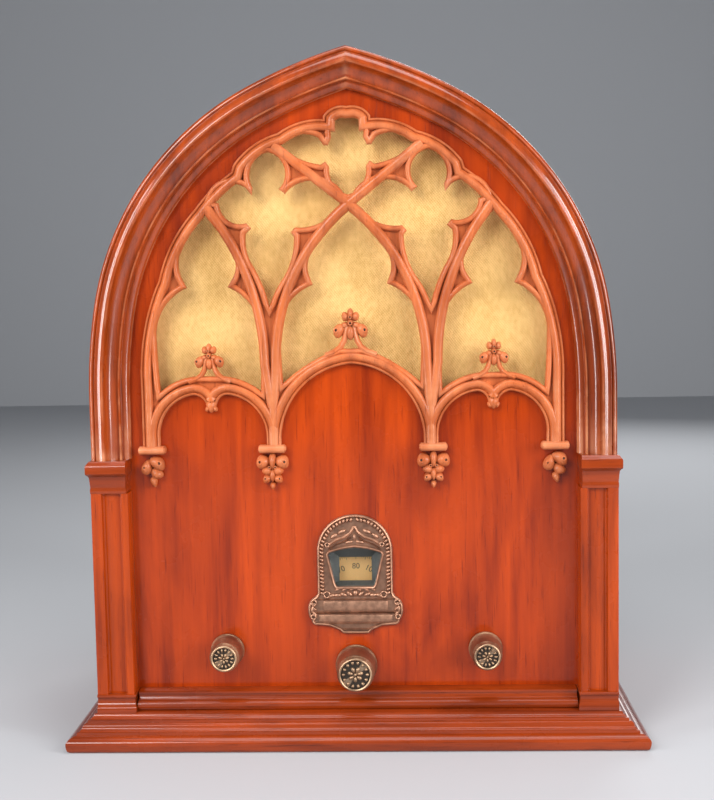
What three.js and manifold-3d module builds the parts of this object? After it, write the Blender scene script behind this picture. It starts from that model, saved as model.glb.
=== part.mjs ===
// Cathedral table radio: arched wooden cabinet, carved grille, speaker and chassis.
// Millimetres. X is right, Y runs from front to back, Z is up.
// The origin is the middle of the footprint, on the surface that the base stands on.
import * as THREE from 'three';
import { mergeVertices } from 'three/addons/utils/BufferGeometryUtils.js';
import Module from 'manifold-3d';

const wasm = await Module();
wasm.setup();

// ---------- driving dimensions ----------
const BACK = 120;              // rear edge of the base
const PANEL_FRONT = -86;       // front face of the front panel
const PANEL_THICK = 9;
const PANEL_BACK = PANEL_FRONT + PANEL_THICK;
const BODY_HALF = 168.5;       // half width over the pilasters and the arch
const BASE_PLANE = -102.5;     // front plane that the base mouldings stand out from
const BOARD_LOW = 8;
const BOARD_TOP = 21.4;        // the cabinet stands on the base board here
const PLINTH_TOP = 33;
const NECK_LOW = 165;          // underside of the capitals
const CAPITAL_TOP = 186;       // the arch mouldings start here
const SHELL_INSET = 2.5;       // the shell lies this far inside the arch's outline
const SHELL_WALL = 7;
const SHELL_BACK = 118;
const GAP = 0.3;               // clearance between neighbouring pieces
const PILASTER_IN = 144.5;
const PLINTH_IN = 143;

const SPEAKER_Z = 292;
const DISC_Z = 88;             // height of the tuning gang's shaft and the dial disc
const DISC_Y = -70.5;
const DECK_Z = 62;             // top of the chassis
const DECK = DECK_Z + GAP;
const APRON_Y = -58;           // front of the chassis
const CHASSIS_HALF = 125;
const CHASSIS_BACK = 92;
const SHEET = 1.6;
const TUNING = { x: 0, z: 48 };
const SIDE = { x: 84.3, z: 58.5 };

// ---------- materials ----------
const finish = (color, roughness, metalness = 0) =>
  new THREE.MeshStandardMaterial({ color, roughness, metalness });
const panelWood = finish(0xb8481c, 0.3);
const trimWood = finish(0x7a3418, 0.3);
const carving = finish(0xa05a40, 0.45);
const plyWood = finish(0xb98a5a, 0.8);
const cloth = finish(0xd9b965, 0.95);
const copper = finish(0x7a5440, 0.45, 0.8);
const bronze = finish(0x8c6a4a, 0.4, 0.8);
const steel = finish(0x9a9c9c, 0.5, 0.8);
const blackIron = finish(0x232323, 0.6, 0.4);
const aluminium = finish(0xc2c4c6, 0.4, 0.9);
const glass = finish(0xdfe6e6, 0.1);
const celluloid = finish(0xd8a860, 0.4);
const paper = finish(0x2c2622, 0.9);
const bakelite = finish(0x2a1a12, 0.4);

// ---------- plain shapes ----------
const model = new THREE.Group();

function add(name, geometry, material) {
  const mesh = new THREE.Mesh(geometry, material);
  mesh.name = name;
  model.add(mesh);
}

// An outline is a start point and then [x, z, sag] steps. A step with a sag is an arc
// that bulges by that much to the right of the way it travels.
function outline(steps, arcStep = 9) {
  const points = [new THREE.Vector2(steps[0][0], steps[0][1])];
  for (const [x, z, sag = 0] of steps.slice(1)) {
    const from = points[points.length - 1];
    const to = new THREE.Vector2(x, z);
    if (sag !== 0) points.push(...arcBetween(from, to, sag, arcStep));
    points.push(to);
  }
  return points;
}

function arcBetween(from, to, sag, arcStep) {
  const chord = to.clone().sub(from);
  const length = chord.length();
  const radius = (length * length / 4 + sag * sag) / (2 * Math.abs(sag));
  const side = new THREE.Vector2(chord.y, -chord.x).divideScalar(length);
  const centre = from.clone().add(to).multiplyScalar(0.5)
    .addScaledVector(side, -Math.sign(sag) * (radius - Math.abs(sag)));
  const start = Math.atan2(from.y - centre.y, from.x - centre.x);
  const half = Math.asin(Math.min(1, length / 2 / radius));
  const sweep = Math.sign(sag) * 2 * (Math.abs(sag) > radius ? Math.PI - half : half);
  const count = Math.max(2, Math.ceil(Math.abs(sweep) * radius / arcStep));
  const between = [];
  for (let i = 1; i < count; i += 1) {
    const angle = start + sweep * i / count;
    between.push(new THREE.Vector2(
      centre.x + radius * Math.cos(angle), centre.y + radius * Math.sin(angle)));
  }
  return between;
}

const flip = (points) => points.map((p) => new THREE.Vector2(-p.x, p.y)).reverse();
const shift = (points, dx) => points.map((p) => new THREE.Vector2(p.x + dx, p.y));

// Both halves of an outline that is drawn on the right and starts and ends on X = 0.
const bothHalves = (right) => [...right, ...flip(right).slice(1, -1)];

// A flat piece that faces the front: an outline in X and Z, between two depths.
function slab(points, near, far, holes = []) {
  const shape = new THREE.Shape(points);
  shape.holes = holes.map((hole) => new THREE.Path(hole));
  const geometry = new THREE.ExtrudeGeometry(shape, { depth: far - near, bevelEnabled: false });
  geometry.rotateX(Math.PI / 2);
  geometry.translate(0, far, 0);
  return geometry;
}

function box(x0, x1, y0, y1, z0, z1) {
  const geometry = new THREE.BoxGeometry(x1 - x0, y1 - y0, z1 - z0);
  geometry.translate((x0 + x1) / 2, (y0 + y1) / 2, (z0 + z1) / 2);
  return geometry;
}

// A turned piece. The profile is [radius, distance along the axis] pairs.
function turnedZ(x, y, profile, sides = 24) {
  const geometry = new THREE.LatheGeometry(profile.map(([r, h]) => new THREE.Vector2(r, h)), sides);
  geometry.rotateX(Math.PI / 2);
  geometry.translate(x, y, 0);
  return outward(geometry);
}

function turnedY(x, z, profile, sides = 24) {
  const geometry = new THREE.LatheGeometry(profile.map(([r, h]) => new THREE.Vector2(r, h)), sides);
  geometry.translate(x, 0, z);
  return outward(geometry);
}

const rodY = (x, z, radius, y0, y1, sides = 16) =>
  turnedY(x, z, [[0, y0], [radius, y0], [radius, y1], [0, y1]], sides);
const rodZ = (x, y, radius, z0, z1, sides = 16) =>
  turnedZ(x, y, [[0, z0], [radius, z0], [radius, z1], [0, z1]], sides);

// A profile in (depth forward of the panel, Z), carried along X.
function alongX(profile, x0, x1) {
  const shape = new THREE.Shape(profile.map(([p, z]) => new THREE.Vector2(p, z)));
  const geometry = new THREE.ExtrudeGeometry(shape, { depth: x1 - x0, bevelEnabled: false });
  geometry.rotateX(Math.PI / 2);
  geometry.rotateZ(-Math.PI / 2);
  geometry.translate(x1, PANEL_FRONT, 0);
  return geometry;
}

// A skin over matching closed sections, with its two end caps.
function skin(sections) {
  const count = sections[0].length;
  const position = sections.flat().flatMap((p) => [p.x, p.y, p.z]);
  const index = [];
  for (let s = 0; s < sections.length - 1; s += 1) {
    for (let i = 0; i < count; i += 1) {
      const a = s * count + i;
      const b = s * count + (i + 1) % count;
      index.push(a, b, b + count, a, b + count, a + count);
    }
  }
  const last = sections.length - 1;
  for (const [section, first, along] of [[sections[0], 0, false], [sections[last], last * count, true]]) {
    for (const face of capFaces(section, along)) index.push(...face.map((i) => first + i));
  }
  const geometry = new THREE.BufferGeometry();
  geometry.setAttribute('position', new THREE.Float32BufferAttribute(position, 3));
  geometry.setIndex(index);
  return outward(geometry);
}

// Triangles that close a flat section, wound with the section's own order or against it.
function capFaces(section, along) {
  const edge = section[0].clone().sub(section[1]);
  const normal = section[2].clone().sub(section[1]).cross(edge);
  const level = new THREE.Vector3(-normal.y, normal.x, 0).normalize();
  const flat = section.map((p) => (level.lengthSq() === 0
    ? new THREE.Vector2(p.x, p.y) : new THREE.Vector2(p.dot(level), p.z)));
  const order = Math.sign(THREE.ShapeUtils.area(flat));
  return THREE.ShapeUtils.triangulateShape(flat, []).map((face) => {
    const same = Math.sign(THREE.ShapeUtils.area(face.map((i) => flat[i]))) === order;
    return same === along ? face : [face[0], face[2], face[1]];
  });
}

// Turns a closed geometry the right way out.
function outward(geometry) {
  const p = geometry.attributes.position;
  const index = geometry.index.array;
  const corner = (i) => new THREE.Vector3().fromBufferAttribute(p, index[i]);
  let volume = 0;
  for (let i = 0; i < index.length; i += 3) {
    volume += corner(i).dot(corner(i + 1).cross(corner(i + 2)));
  }
  if (volume < 0) {
    for (let i = 0; i < index.length; i += 3) {
      [index[i], index[i + 1]] = [index[i + 1], index[i]];
    }
  }
  return geometry;
}

// ---------- joining and cutting ----------
function solid(geometry) {
  const bare = geometry.clone();
  for (const extra of ['normal', 'uv']) {
    if (bare.attributes[extra]) bare.deleteAttribute(extra);
  }
  const merged = mergeVertices(bare, 1e-3);
  return new wasm.Manifold(new wasm.Mesh({
    numProp: 3,
    vertProperties: new Float32Array(merged.attributes.position.array),
    triVerts: new Uint32Array(merged.index.array),
  }));
}

function fromSolid(manifold) {
  const mesh = manifold.getMesh();
  const geometry = new THREE.BufferGeometry();
  geometry.setAttribute('position', new THREE.Float32BufferAttribute(mesh.vertProperties, 3));
  geometry.setIndex(new THREE.Uint32BufferAttribute(mesh.triVerts, 1));
  return geometry;
}

const join = (...pieces) => fromSolid(pieces.map(solid).reduce((a, b) => a.add(b)));
const cut = (piece, ...tools) =>
  fromSolid(tools.map(solid).reduce((a, b) => a.subtract(b), solid(piece)));

// ---------- the pointed arch ----------
// Three arcs that run into each other on each side, meeting at a point on X = 0.
const ARCH_SPRING = 225;
const ARCH_ARCS = [{ radius: 342, to: 10 }, { radius: 189, to: 63 }, { radius: 340, to: 90 }];

function archLine(inset, from) {
  const line = [new THREE.Vector2(BODY_HALF - inset, from)];
  let centre = new THREE.Vector2(BODY_HALF - ARCH_ARCS[0].radius, ARCH_SPRING);
  let angle = 0;
  ARCH_ARCS.forEach((arc, i) => {
    const radius = arc.radius - inset;
    const last = i === ARCH_ARCS.length - 1;
    const end = last ? Math.acos(-centre.x / radius) : THREE.MathUtils.degToRad(arc.to);
    const count = [3, 9, 4][i];
    for (let k = i === 0 ? 0 : 1; k <= count; k += 1) {
      const t = angle + (end - angle) * k / count;
      line.push(new THREE.Vector2(centre.x + radius * Math.cos(t), centre.y + radius * Math.sin(t)));
    }
    angle = end;
    if (!last) {
      const step = arc.radius - ARCH_ARCS[i + 1].radius;
      centre = centre.clone().add(new THREE.Vector2(Math.cos(end), Math.sin(end)).multiplyScalar(step));
    }
  });
  line.at(-1).x = 0;
  return line;
}

const archFace = (inset, low) => {
  const right = archLine(inset, low);
  return [...right, ...flip(right).slice(1)];
};

// ---------- base ----------
// Outline of the base moulding: how far it stands out, and the height.
const BASE_PROFILE = [
  [-12, 0], [15, 0], [17, 2.4], [17.5, 5], [16.7, 7.6], [14.4, 9.6], [11.6, 10.3], [11, 12],
  [8.8, 13.2], [8.2, 14.6], [7.6, 15.8], [5.8, 16.6], [5.4, 18.2], [2.8, 19.2], [1.6, 21.4],
  [0, 21.4], [0, 8], [-12, 8],
];

function baseMoldings() {
  const corner = (side) => BASE_PROFILE.map(([p, z]) =>
    new THREE.Vector3(side * (BODY_HALF + p), BASE_PLANE - p, z));
  const rear = (side) => BASE_PROFILE.map(([p, z]) =>
    new THREE.Vector3(side * (BODY_HALF + p), BACK, z));
  add('base_molding_front', skin([corner(-1), corner(1)]), trimWood);
  add('base_molding_left', skin([corner(-1), rear(-1)]), trimWood);
  add('base_molding_right', skin([corner(1), rear(1)]), trimWood);
  const railHalf = BODY_HALF - 12 - GAP;
  add('base_rail_rear', box(-railHalf, railHalf, BACK - 16, BACK, 0, BOARD_LOW - GAP), trimWood);
}

const BOLTS = [[-117, -44], [117, -44], [-117, 80], [117, 80]];

function baseBoard() {
  const half = BODY_HALF - GAP;
  const board = box(-half, half, BASE_PLANE + GAP, BACK - GAP, BOARD_LOW, BOARD_TOP);
  const holes = BOLTS.map(([x, y]) => rodZ(x, y, 2.6, 0, 30, 10));
  add('base_board', cut(board, ...holes), plyWood);
  BOLTS.forEach(([x, y], i) => {
    const bolt = [[0, 3.6], [5, 3.6], [5, BOARD_LOW - GAP], [2.2, BOARD_LOW - GAP], [2.2, 27], [0, 27]];
    add(`chassis_bolt_${i + 1}`, turnedZ(x, y, bolt, 8), steel);
  });
}

// ---------- cabinet ----------
function shell() {
  const outer = archLine(SHELL_INSET, BOARD_TOP);
  const inner = archLine(SHELL_INSET + SHELL_WALL, BOARD_TOP);
  const right = [...outer, ...inner.reverse()];
  add('cabinet_shell_right', slab(right, PANEL_FRONT, SHELL_BACK), panelWood);
  add('cabinet_shell_left', slab(flip(right), PANEL_FRONT, SHELL_BACK), panelWood);
}

// The cloth shows through this opening. The carved tracery covers its edge.
const GRILLE_OPENING = bothHalves(outline([
  [0, 250], [38, 233, -2], [50, 214], [64, 227, -1], [91.3, 234, -1.5], [118, 227, -1.5],
  [130.5, 214, -1], [130.5, 232], [119, 297, 3.4], [94, 343, 2.4], [70, 366, 1], [43, 389, 2],
  [14, 397, 2], [0, 404, 1.5],
]));

const WINDOW = { half: 20, low: 98.5, top: 127.5 };
const windowHole = () => outline([
  [-WINDOW.half, WINDOW.low], [WINDOW.half, WINDOW.low],
  [WINDOW.half, WINDOW.top], [-WINDOW.half, WINDOW.top],
]);

const circle = (x, z, radius, sides = 20) => Array.from({ length: sides }, (_, i) => {
  const angle = 2 * Math.PI * i / sides;
  return new THREE.Vector2(x + radius * Math.cos(angle), z + radius * Math.sin(angle));
});

const SHAFTS = [[TUNING.x, TUNING.z], [-SIDE.x, SIDE.z], [SIDE.x, SIDE.z]];

function frontPanel() {
  const face = archFace(SHELL_INSET + SHELL_WALL + GAP, BOARD_TOP);
  const holes = [GRILLE_OPENING, windowHole(), ...SHAFTS.map(([x, z]) => circle(x, z, 5.5, 12))];
  add('front_panel', slab(face, PANEL_FRONT, PANEL_BACK, holes), panelWood);
}

// Section of the arch moulding: distance in from the outer edge, and height off the panel.
const ARCH_PROFILE = [
  [0, 0], [0, 9], [1, 11], [3.4, 11.6], [7, 15.4], [9.2, 16.5], [11.4, 14.8], [14, 9.8], [18, 8],
  [24.5, 4.2], [24.5, 0],
];

function archMoldings() {
  const lines = ARCH_PROFILE.map(([inset]) => archLine(inset, CAPITAL_TOP));
  for (const [name, side] of [['right', 1], ['left', -1]]) {
    const sections = lines[0].map((_, i) => ARCH_PROFILE.map(([, proud], j) =>
      new THREE.Vector3(side * lines[j][i].x, PANEL_FRONT - proud, lines[j][i].y)));
    add(`arch_molding_${name}`, skin(sections), trimWood);
  }
}

const CAPITAL_PROFILE = [
  [0, 165], [16, 165], [16.5, 176.5], [20, 178], [20, 183.6], [17, 186], [0, 186],
];
const PLINTH_PROFILE = [
  [0, 21.4], [17.5, 21.4], [17.5, 24.6], [15.6, 26], [14.8, 29], [15.4, 31], [16.8, 31.6],
  [16.8, 33], [0, 33],
];
const SILL_PROFILE = [
  [0, 21.4], [12, 21.4], [13.4, 22.8], [13.6, 25], [12.4, 26.9], [10, 27.6], [8.6, 29.4], [8.6, 31],
  [9.6, 31.4], [9.6, 32.4], [8, 33.2], [0, 33.2],
];

function pilasters() {
  const stile = 5;
  const outerStile = 7;
  const face = 15.5;
  const field = 12.5;
  const section = [
    [PILASTER_IN, 0], [PILASTER_IN, face], [PILASTER_IN + stile, face], [PILASTER_IN + stile + 0.8, field],
    [BODY_HALF - outerStile - 0.8, field], [BODY_HALF - outerStile, face], [BODY_HALF, face], [BODY_HALF, 0],
  ];
  for (const [name, side] of [['left', -1], ['right', 1]]) {
    const ring = (z) => section.map(([x, p]) => new THREE.Vector3(side * x, PANEL_FRONT - p, z));
    const span = (low, high) => (side > 0 ? [low, high] : [-high, -low]);
    add(`pilaster_${name}`, skin([ring(PLINTH_TOP), ring(NECK_LOW)]), trimWood);
    add(`capital_${name}`, alongX(CAPITAL_PROFILE, ...span(PILASTER_IN, BODY_HALF + 2)), trimWood);
    add(`plinth_${name}`, alongX(PLINTH_PROFILE, ...span(PLINTH_IN, BODY_HALF)), trimWood);
  }
  add('sill_molding', alongX(SILL_PROFILE, -PLINTH_IN + GAP, PLINTH_IN - GAP), trimWood);
}

// ---------- carved grille ----------
const TRACERY_PROUD = 6.5;
const SIDE_ARCH_X = 91.5;
const COLLARS = [52, 130];

const RIM = outline([
  [136, 193], [136, 232], [124.5, 296.5, 3.6], [122.6, 300.4], [98.2, 345.3, 3.4], [74, 368.4, 1.4],
  [72.6, 373], [44, 392.2, 3], [15, 400.3, 2.6], [15, 402], [0, 408.1, 2.6],
]);
const SIDE_INTRADOS = outline([
  [124.7, 193], [124.7, 199], [102, 226.6, 7.2], [94, 220.5, 1.6], [90.8, 215.6], [87.4, 220.5],
  [80.5, 226.6, 1.6], [55.4, 199, 7.2], [55.4, 193],
]);
const CENTRE_INTRADOS = outline([[46, 193], [46, 199], [0, 245.4, 12.3]]);
const CENTRE_LANCET = outline([
  [0, 255], [7, 255.5], [44, 233.5, -2.2], [44.9, 262, 0.3], [23.6, 296.2, 7.2], [25.2, 300.4],
  [20.6, 320.8, 3.4], [0, 342.5, 0.9],
]);
const SIDE_LANCET = outline([
  [58.4, 228.6], [82, 238.6, -1.8], [100, 238.8], [123.5, 229, -2.2], [125.2, 262, 0.3],
  [104.6, 295.6, 6.6], [106.8, 300], [109, 316, 1.5], [92.6, 342.4, 1], [74.2, 316, 0.8],
  [75.8, 300, 2.2], [78.4, 295.6], [58.2, 262, 6.6], [58.4, 228.6, 0.2],
]).slice(0, -1);
const DAGGER = outline([
  [51.6, 283], [60.5, 307, -0.8], [65.8, 329.5, 2.2], [62.2, 332.8], [65.2, 336.2], [82.5, 349, 5.4],
  [87.5, 350.5], [65.4, 358.4, 6.2], [61.4, 353.6], [60.8, 358.5], [51, 380.6, 6], [42.6, 358.6, 6.6],
  [44.2, 357.2], [40.2, 354], [38, 356.6], [4.2, 348.2, 9.2], [34.2, 333, 5.2], [37, 329.6],
  [35, 327], [44.1, 298.4, 2.4], [51.6, 283, -0.6],
]).slice(0, -1);
const TREFOIL = outline([
  [0, 353], [11.6, 370.6, 4], [14, 374], [17, 372], [43.5, 384.6, 2.2], [18.4, 388.9, 4.4],
  [15.2, 384.2], [12.4, 384], [10, 389], [10.4, 393.4, 0.2], [0, 401.4, 3.4],
]);

// Crockets of a finial: X and Z from its root, and radius.
const CENTRE_FINIAL = [[0, 2, 5], [0, 9, 4], [-7, 11.5, 4.2], [7, 11.5, 4.2], [0, 15, 4.5], [0, 21, 5]];
const SIDE_FINIAL = [[0, 1, 4.4], [0, 7, 3.6], [-6, 9.5, 4], [6, 9.5, 4], [0, 13, 3.6], [0, 18, 4.2]];
const PENDANT = [[-4.4, 184, 5.6], [4.4, 184, 5.6], [0, 176, 6], [0, 170.5, 4.4]];

function tracery() {
  const near = PANEL_FRONT - TRACERY_PROUD;
  const lump = ([x, z, radius]) => rodY(x, z, radius, near - 1, PANEL_FRONT, 8);
  const mirrored = (points) => flip(points).reverse();
  const backwards = (points) => points.slice().reverse();
  const lower = [
    ...mirrored(SIDE_INTRADOS), ...mirrored(CENTRE_INTRADOS), ...backwards(CENTRE_INTRADOS).slice(1),
    ...backwards(SIDE_INTRADOS),
  ];
  const face = [...RIM, ...flip(RIM).slice(1), ...lower];
  const holes = [
    bothHalves(CENTRE_LANCET), SIDE_LANCET, flip(SIDE_LANCET), DAGGER, flip(DAGGER), bothHalves(TREFOIL),
  ];
  const plate = slab(face, near, PANEL_FRONT, holes);
  const lumps = CENTRE_FINIAL.map(([x, z, r]) => lump([x, 253 + z, r]));
  for (const side of [-1, 1]) {
    lumps.push(...SIDE_FINIAL.map(([x, z, r]) => lump([side * SIDE_ARCH_X + x, 236 + z, r])));
    for (const x of COLLARS) {
      const half = 8.4;
      lumps.push(box(side * x - half, side * x + half, near - 2, PANEL_FRONT, 189, 194));
      lumps.push(...PENDANT.map(([dx, z, r]) => lump([side * x + dx, z, r])));
    }
  }
  add('tracery', join(plate, ...lumps), carving);
}

function grilleBacking() {
  const sheet = archFace(16, 205);
  const clothNear = PANEL_BACK + GAP;
  const baffleNear = clothNear + 0.8 + GAP;
  add('grille_cloth', slab(sheet, clothNear, clothNear + 0.8), cloth);
  const board = archFace(13, 185);
  add('speaker_baffle', slab(board, baffleNear, baffleNear + 6, [circle(0, SPEAKER_Z, 86, 40)]), plyWood);
}

// ---------- speaker ----------
const BASKET_Y = -69.3;
const POT_Y = -25;

function speaker() {
  const shellProfile = [
    [84, BASKET_Y], [98, BASKET_Y], [98, BASKET_Y + 3], [91, BASKET_Y + 3], [42, POT_Y - 3],
    [42, POT_Y - GAP], [17, POT_Y - GAP], [17, POT_Y - 3], [39, POT_Y - 3], [87.5, BASKET_Y + 3],
    [84, BASKET_Y + 3], [84, BASKET_Y],
  ];
  const basket = turnedY(0, SPEAKER_Z, shellProfile, 24);
  const windows = [0, 1, 2].map((i) => {
    const slot = box(-120, 120, BASKET_Y + 9, POT_Y - 8, -19, 19);
    slot.rotateY(Math.PI * i / 3);
    slot.translate(0, 0, SPEAKER_Z);
    return slot;
  });
  add('speaker_basket', cut(basket, ...windows), blackIron);
  add('speaker_cone', turnedY(0, SPEAKER_Z, [
    [0, -36], [13, -35], [13, -14], [14, -14], [14, -31], [82.5, BASKET_Y + 4.4], [82.5, BASKET_Y + 3],
    [14, -37.6], [0, -38],
  ], 24), paper);
  add('field_coil_pot', turnedY(0, SPEAKER_Z, [
    [0, POT_Y], [11.8, POT_Y], [11.8, -9], [15.4, -9], [15.4, POT_Y], [39, POT_Y], [39, 34], [36, 36], [0, 36],
  ], 20), blackIron);
  add('output_transformer', box(-24, 24, -14, 24, SPEAKER_Z + 39 + GAP, SPEAKER_Z + 72), steel);
}

// ---------- dial ----------
const ESCUTCHEON = outline([
  [0, 68.5], [8.5, 68.5], [11, 71], [17.5, 73.6], [25, 74.2], [29, 77.5, 1.2], [31, 85, 0.8],
  [27.5, 92.5, 1], [24.6, 96, -0.6], [24.6, 122], [0, 147.3, 7.6],
]);
const DIAL_WINDOW = outline([[0, 100], [11.8, 100], [12.8, 101.5], [17.2, 120.8], [16.4, 122], [0, 125.4, 0.6]]);

function dial() {
  const plateNear = PANEL_FRONT - 3;
  add('escutcheon', slab(bothHalves(ESCUTCHEON), plateNear, PANEL_FRONT, [bothHalves(DIAL_WINDOW)]), copper);
  const inset = WINDOW.half - 0.5;
  add('dial_glass', box(-inset, inset, PANEL_FRONT + 1, PANEL_FRONT + 2.2,
    WINDOW.low + 0.5, WINDOW.top - 0.5), glass);
  const mask = outline([[-24, 92], [24, 92], [24, 131], [-24, 131]]);
  const sight = outline([[-10.5, 101.5], [10.5, 101.5], [10.5, 117], [-10.5, 117]]);
  add('dial_mask', slab(mask, PANEL_BACK + GAP, PANEL_BACK + 1.3, [sight]), blackIron);
  add('dial_disc', turnedY(0, DISC_Z, [
    [3.5, DISC_Y], [36.5, DISC_Y], [36.5, DISC_Y + 1.2], [8, DISC_Y + 1.2], [8, DISC_Y + 6],
    [3.5, DISC_Y + 6], [3.5, DISC_Y],
  ], 24), celluloid);
  const bracket = box(-8, 8, -52.4, -50.4, 97, 121);
  add('lamp_bracket', cut(bracket, rodY(0, 110, 5, -60, -40, 12)), steel);
  add('dial_lamp', turnedY(0, 110, [
    [0, -66], [3, -65.4], [5.4, -62], [5.4, -60], [4.6, -57.5], [4.6, -50.4], [0, -50.4],
  ], 14), glass);
}

// ---------- controls ----------
function knob(name, x, z, rearRadius, faceRadius, length) {
  const rear = PANEL_FRONT - 1;
  const face = PANEL_FRONT - length;
  add(name, turnedY(x, z, [
    [3.3, rear], [rearRadius - 1, rear], [rearRadius, rear - 2], [rearRadius, rear - 4],
    [faceRadius + 0.6, face + 5], [faceRadius, face + 0.6], [faceRadius - 0.8, face], [0, face],
    [0, rear - 16], [3.3, rear - 16], [3.3, rear],
  ], 16), bronze);
}

function controls() {
  const shaftFront = PANEL_FRONT - 16.4;
  knob('tuning_knob', TUNING.x, TUNING.z, 13.6, 11, 26);
  const near = DISC_Y - 1.4;
  const far = DISC_Y + 1.6;
  add('tuning_shaft', turnedY(TUNING.x, TUNING.z, [
    [0, shaftFront], [3, shaftFront], [3, near], [7, near], [7, near + 1], [3, near + 1], [3, far],
    [7, far], [7, far + 1], [3, far + 1], [3, APRON_Y + 4], [5.5, APRON_Y + 4], [5.5, APRON_Y + 7],
    [3, APRON_Y + 7], [3, APRON_Y + 12], [0, APRON_Y + 12],
  ], 12), steel);
  for (const [name, body, side] of [['volume', 'volume_control', -1], ['tone', 'tone_control', 1]]) {
    const x = side * SIDE.x;
    knob(`${name}_knob`, x, SIDE.z, 11, 8.7, 24);
    add(`${name}_shaft`, rodY(x, SIDE.z, 3, shaftFront, APRON_Y + 9.5), steel);
    add(body, turnedY(x, SIDE.z, [
      [3.3, -68], [4.6, -68], [4.6, APRON_Y + SHEET + GAP], [15, APRON_Y + SHEET + GAP], [15, -44],
      [13, -42.6], [0, -42.6], [0, -48], [3.3, -48], [3.3, -68],
    ], 14), bakelite);
  }
}

// ---------- chassis ----------
const GROMMET = { x: -90, z: 42 };

function chassis() {
  const low = BOARD_TOP + GAP;
  const far = 2 * CHASSIS_HALF;
  const earTop = 78;
  const earHalf = 18;
  const block = box(-CHASSIS_HALF, CHASSIS_HALF, APRON_Y, CHASSIS_BACK, low, earTop);
  const aboveDeck = box(-far, far, APRON_Y + SHEET, far, DECK_Z, far);
  const besideEars = [
    box(-far, -SIDE.x - earHalf, -far, far, DECK_Z, far),
    box(-SIDE.x + earHalf, SIDE.x - earHalf, -far, far, DECK_Z, far),
    box(SIDE.x + earHalf, far, -far, far, DECK_Z, far),
  ];
  const inside = box(-CHASSIS_HALF + SHEET, CHASSIS_HALF - SHEET, APRON_Y + SHEET, CHASSIS_BACK - SHEET,
    low + SHEET, DECK_Z - SHEET);
  const lip = 15;
  const mouth = box(-CHASSIS_HALF + lip, CHASSIS_HALF - lip, APRON_Y + SHEET, CHASSIS_BACK - SHEET,
    0, low + 2 * SHEET);
  const notches = [-1, 1].map((side) =>
    box(side * SIDE.x - 16, side * SIDE.x + 16, APRON_Y + SHEET, -40, DECK_Z - 4, DECK_Z + 4));
  const bores = SHAFTS.map(([x, z]) => rodY(x, z, 5, APRON_Y - 5, APRON_Y + 5, 12));
  const boltHoles = BOLTS.map(([x, y]) => rodZ(x, y, 2.6, 10, 30, 8));
  const cordHole = rodY(GROMMET.x, GROMMET.z, 6.6, CHASSIS_BACK - 8, CHASSIS_BACK + 8, 12);
  add('chassis_pan', cut(block, aboveDeck, ...besideEars, inside, mouth, ...notches, ...bores,
    ...boltHoles, cordHole), steel);
  add('cord_grommet', turnedY(GROMMET.x, GROMMET.z, [
    [4, CHASSIS_BACK - 4], [8.4, CHASSIS_BACK - 4], [8.4, CHASSIS_BACK - SHEET - GAP],
    [6.2, CHASSIS_BACK - SHEET - GAP], [6.2, CHASSIS_BACK + GAP], [8.4, CHASSIS_BACK + GAP],
    [8.4, CHASSIS_BACK + 3], [4, CHASSIS_BACK + 3], [4, CHASSIS_BACK - 4],
  ], 16), bakelite);
  add('terminal_strip', box(52, 100, CHASSIS_BACK + GAP, CHASSIS_BACK + 5, 34, 50), bakelite);
}

const GANG = { half: 27, front: -50, back: 6, top: 113, sections: 3, plates: 3, pitch: 3.6 };

function plateRows(make) {
  const rows = [];
  for (let s = 0; s < GANG.sections; s += 1) {
    for (let k = 0; k < GANG.plates; k += 1) {
      rows.push(make(GANG.front + 5.5 + 17 * s + GANG.pitch * k));
    }
  }
  return rows;
}

function tuningGang() {
  const { half, front, back, top } = GANG;
  const endPlate = (y) => box(-half, half, y, y + SHEET, DECK, top);
  const frame = join(box(-half, half, front, back + SHEET, DECK, DECK + SHEET), endPlate(front), endPlate(back));
  const bore = rodY(0, DISC_Z, 4.2, front - 10, back + 10, 14);
  add('gang_frame', cut(frame, bore), steel);

  const leaf = (radius, y) => {
    const points = Array.from({ length: 8 }, (_, i) => {
      const angle = Math.PI * i / 7;
      return new THREE.Vector2(radius * Math.cos(angle), DISC_Z + radius * Math.sin(angle));
    });
    return slab([...points, new THREE.Vector2(-5, DISC_Z - 4), new THREE.Vector2(5, DISC_Z - 4)], y, y + 1);
  };
  const shaft = rodY(0, DISC_Z, 3.2, DISC_Y - 1.5, back + 6, 14);
  add('gang_rotor', join(shaft, ...plateRows((y) => leaf(19, y))), aluminium);

  const comb = outline([
    [-24, DISC_Z - 21], [-1, DISC_Z - 21], [-1, DISC_Z - 7.5], [-1, DISC_Z + 7.5, -7], [-1, DISC_Z + 21],
    [-24, DISC_Z + 21],
  ]);
  const rails = [-19.5, 19.5].map((dz) => rodY(-22.5, DISC_Z + dz, 1.3, front + 4, back - 2, 8));
  const leaves = plateRows((y) => slab(comb, y + 1.9, y + 2.8));
  add('gang_stator', join(...rails, ...leaves), aluminium);
}

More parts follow.
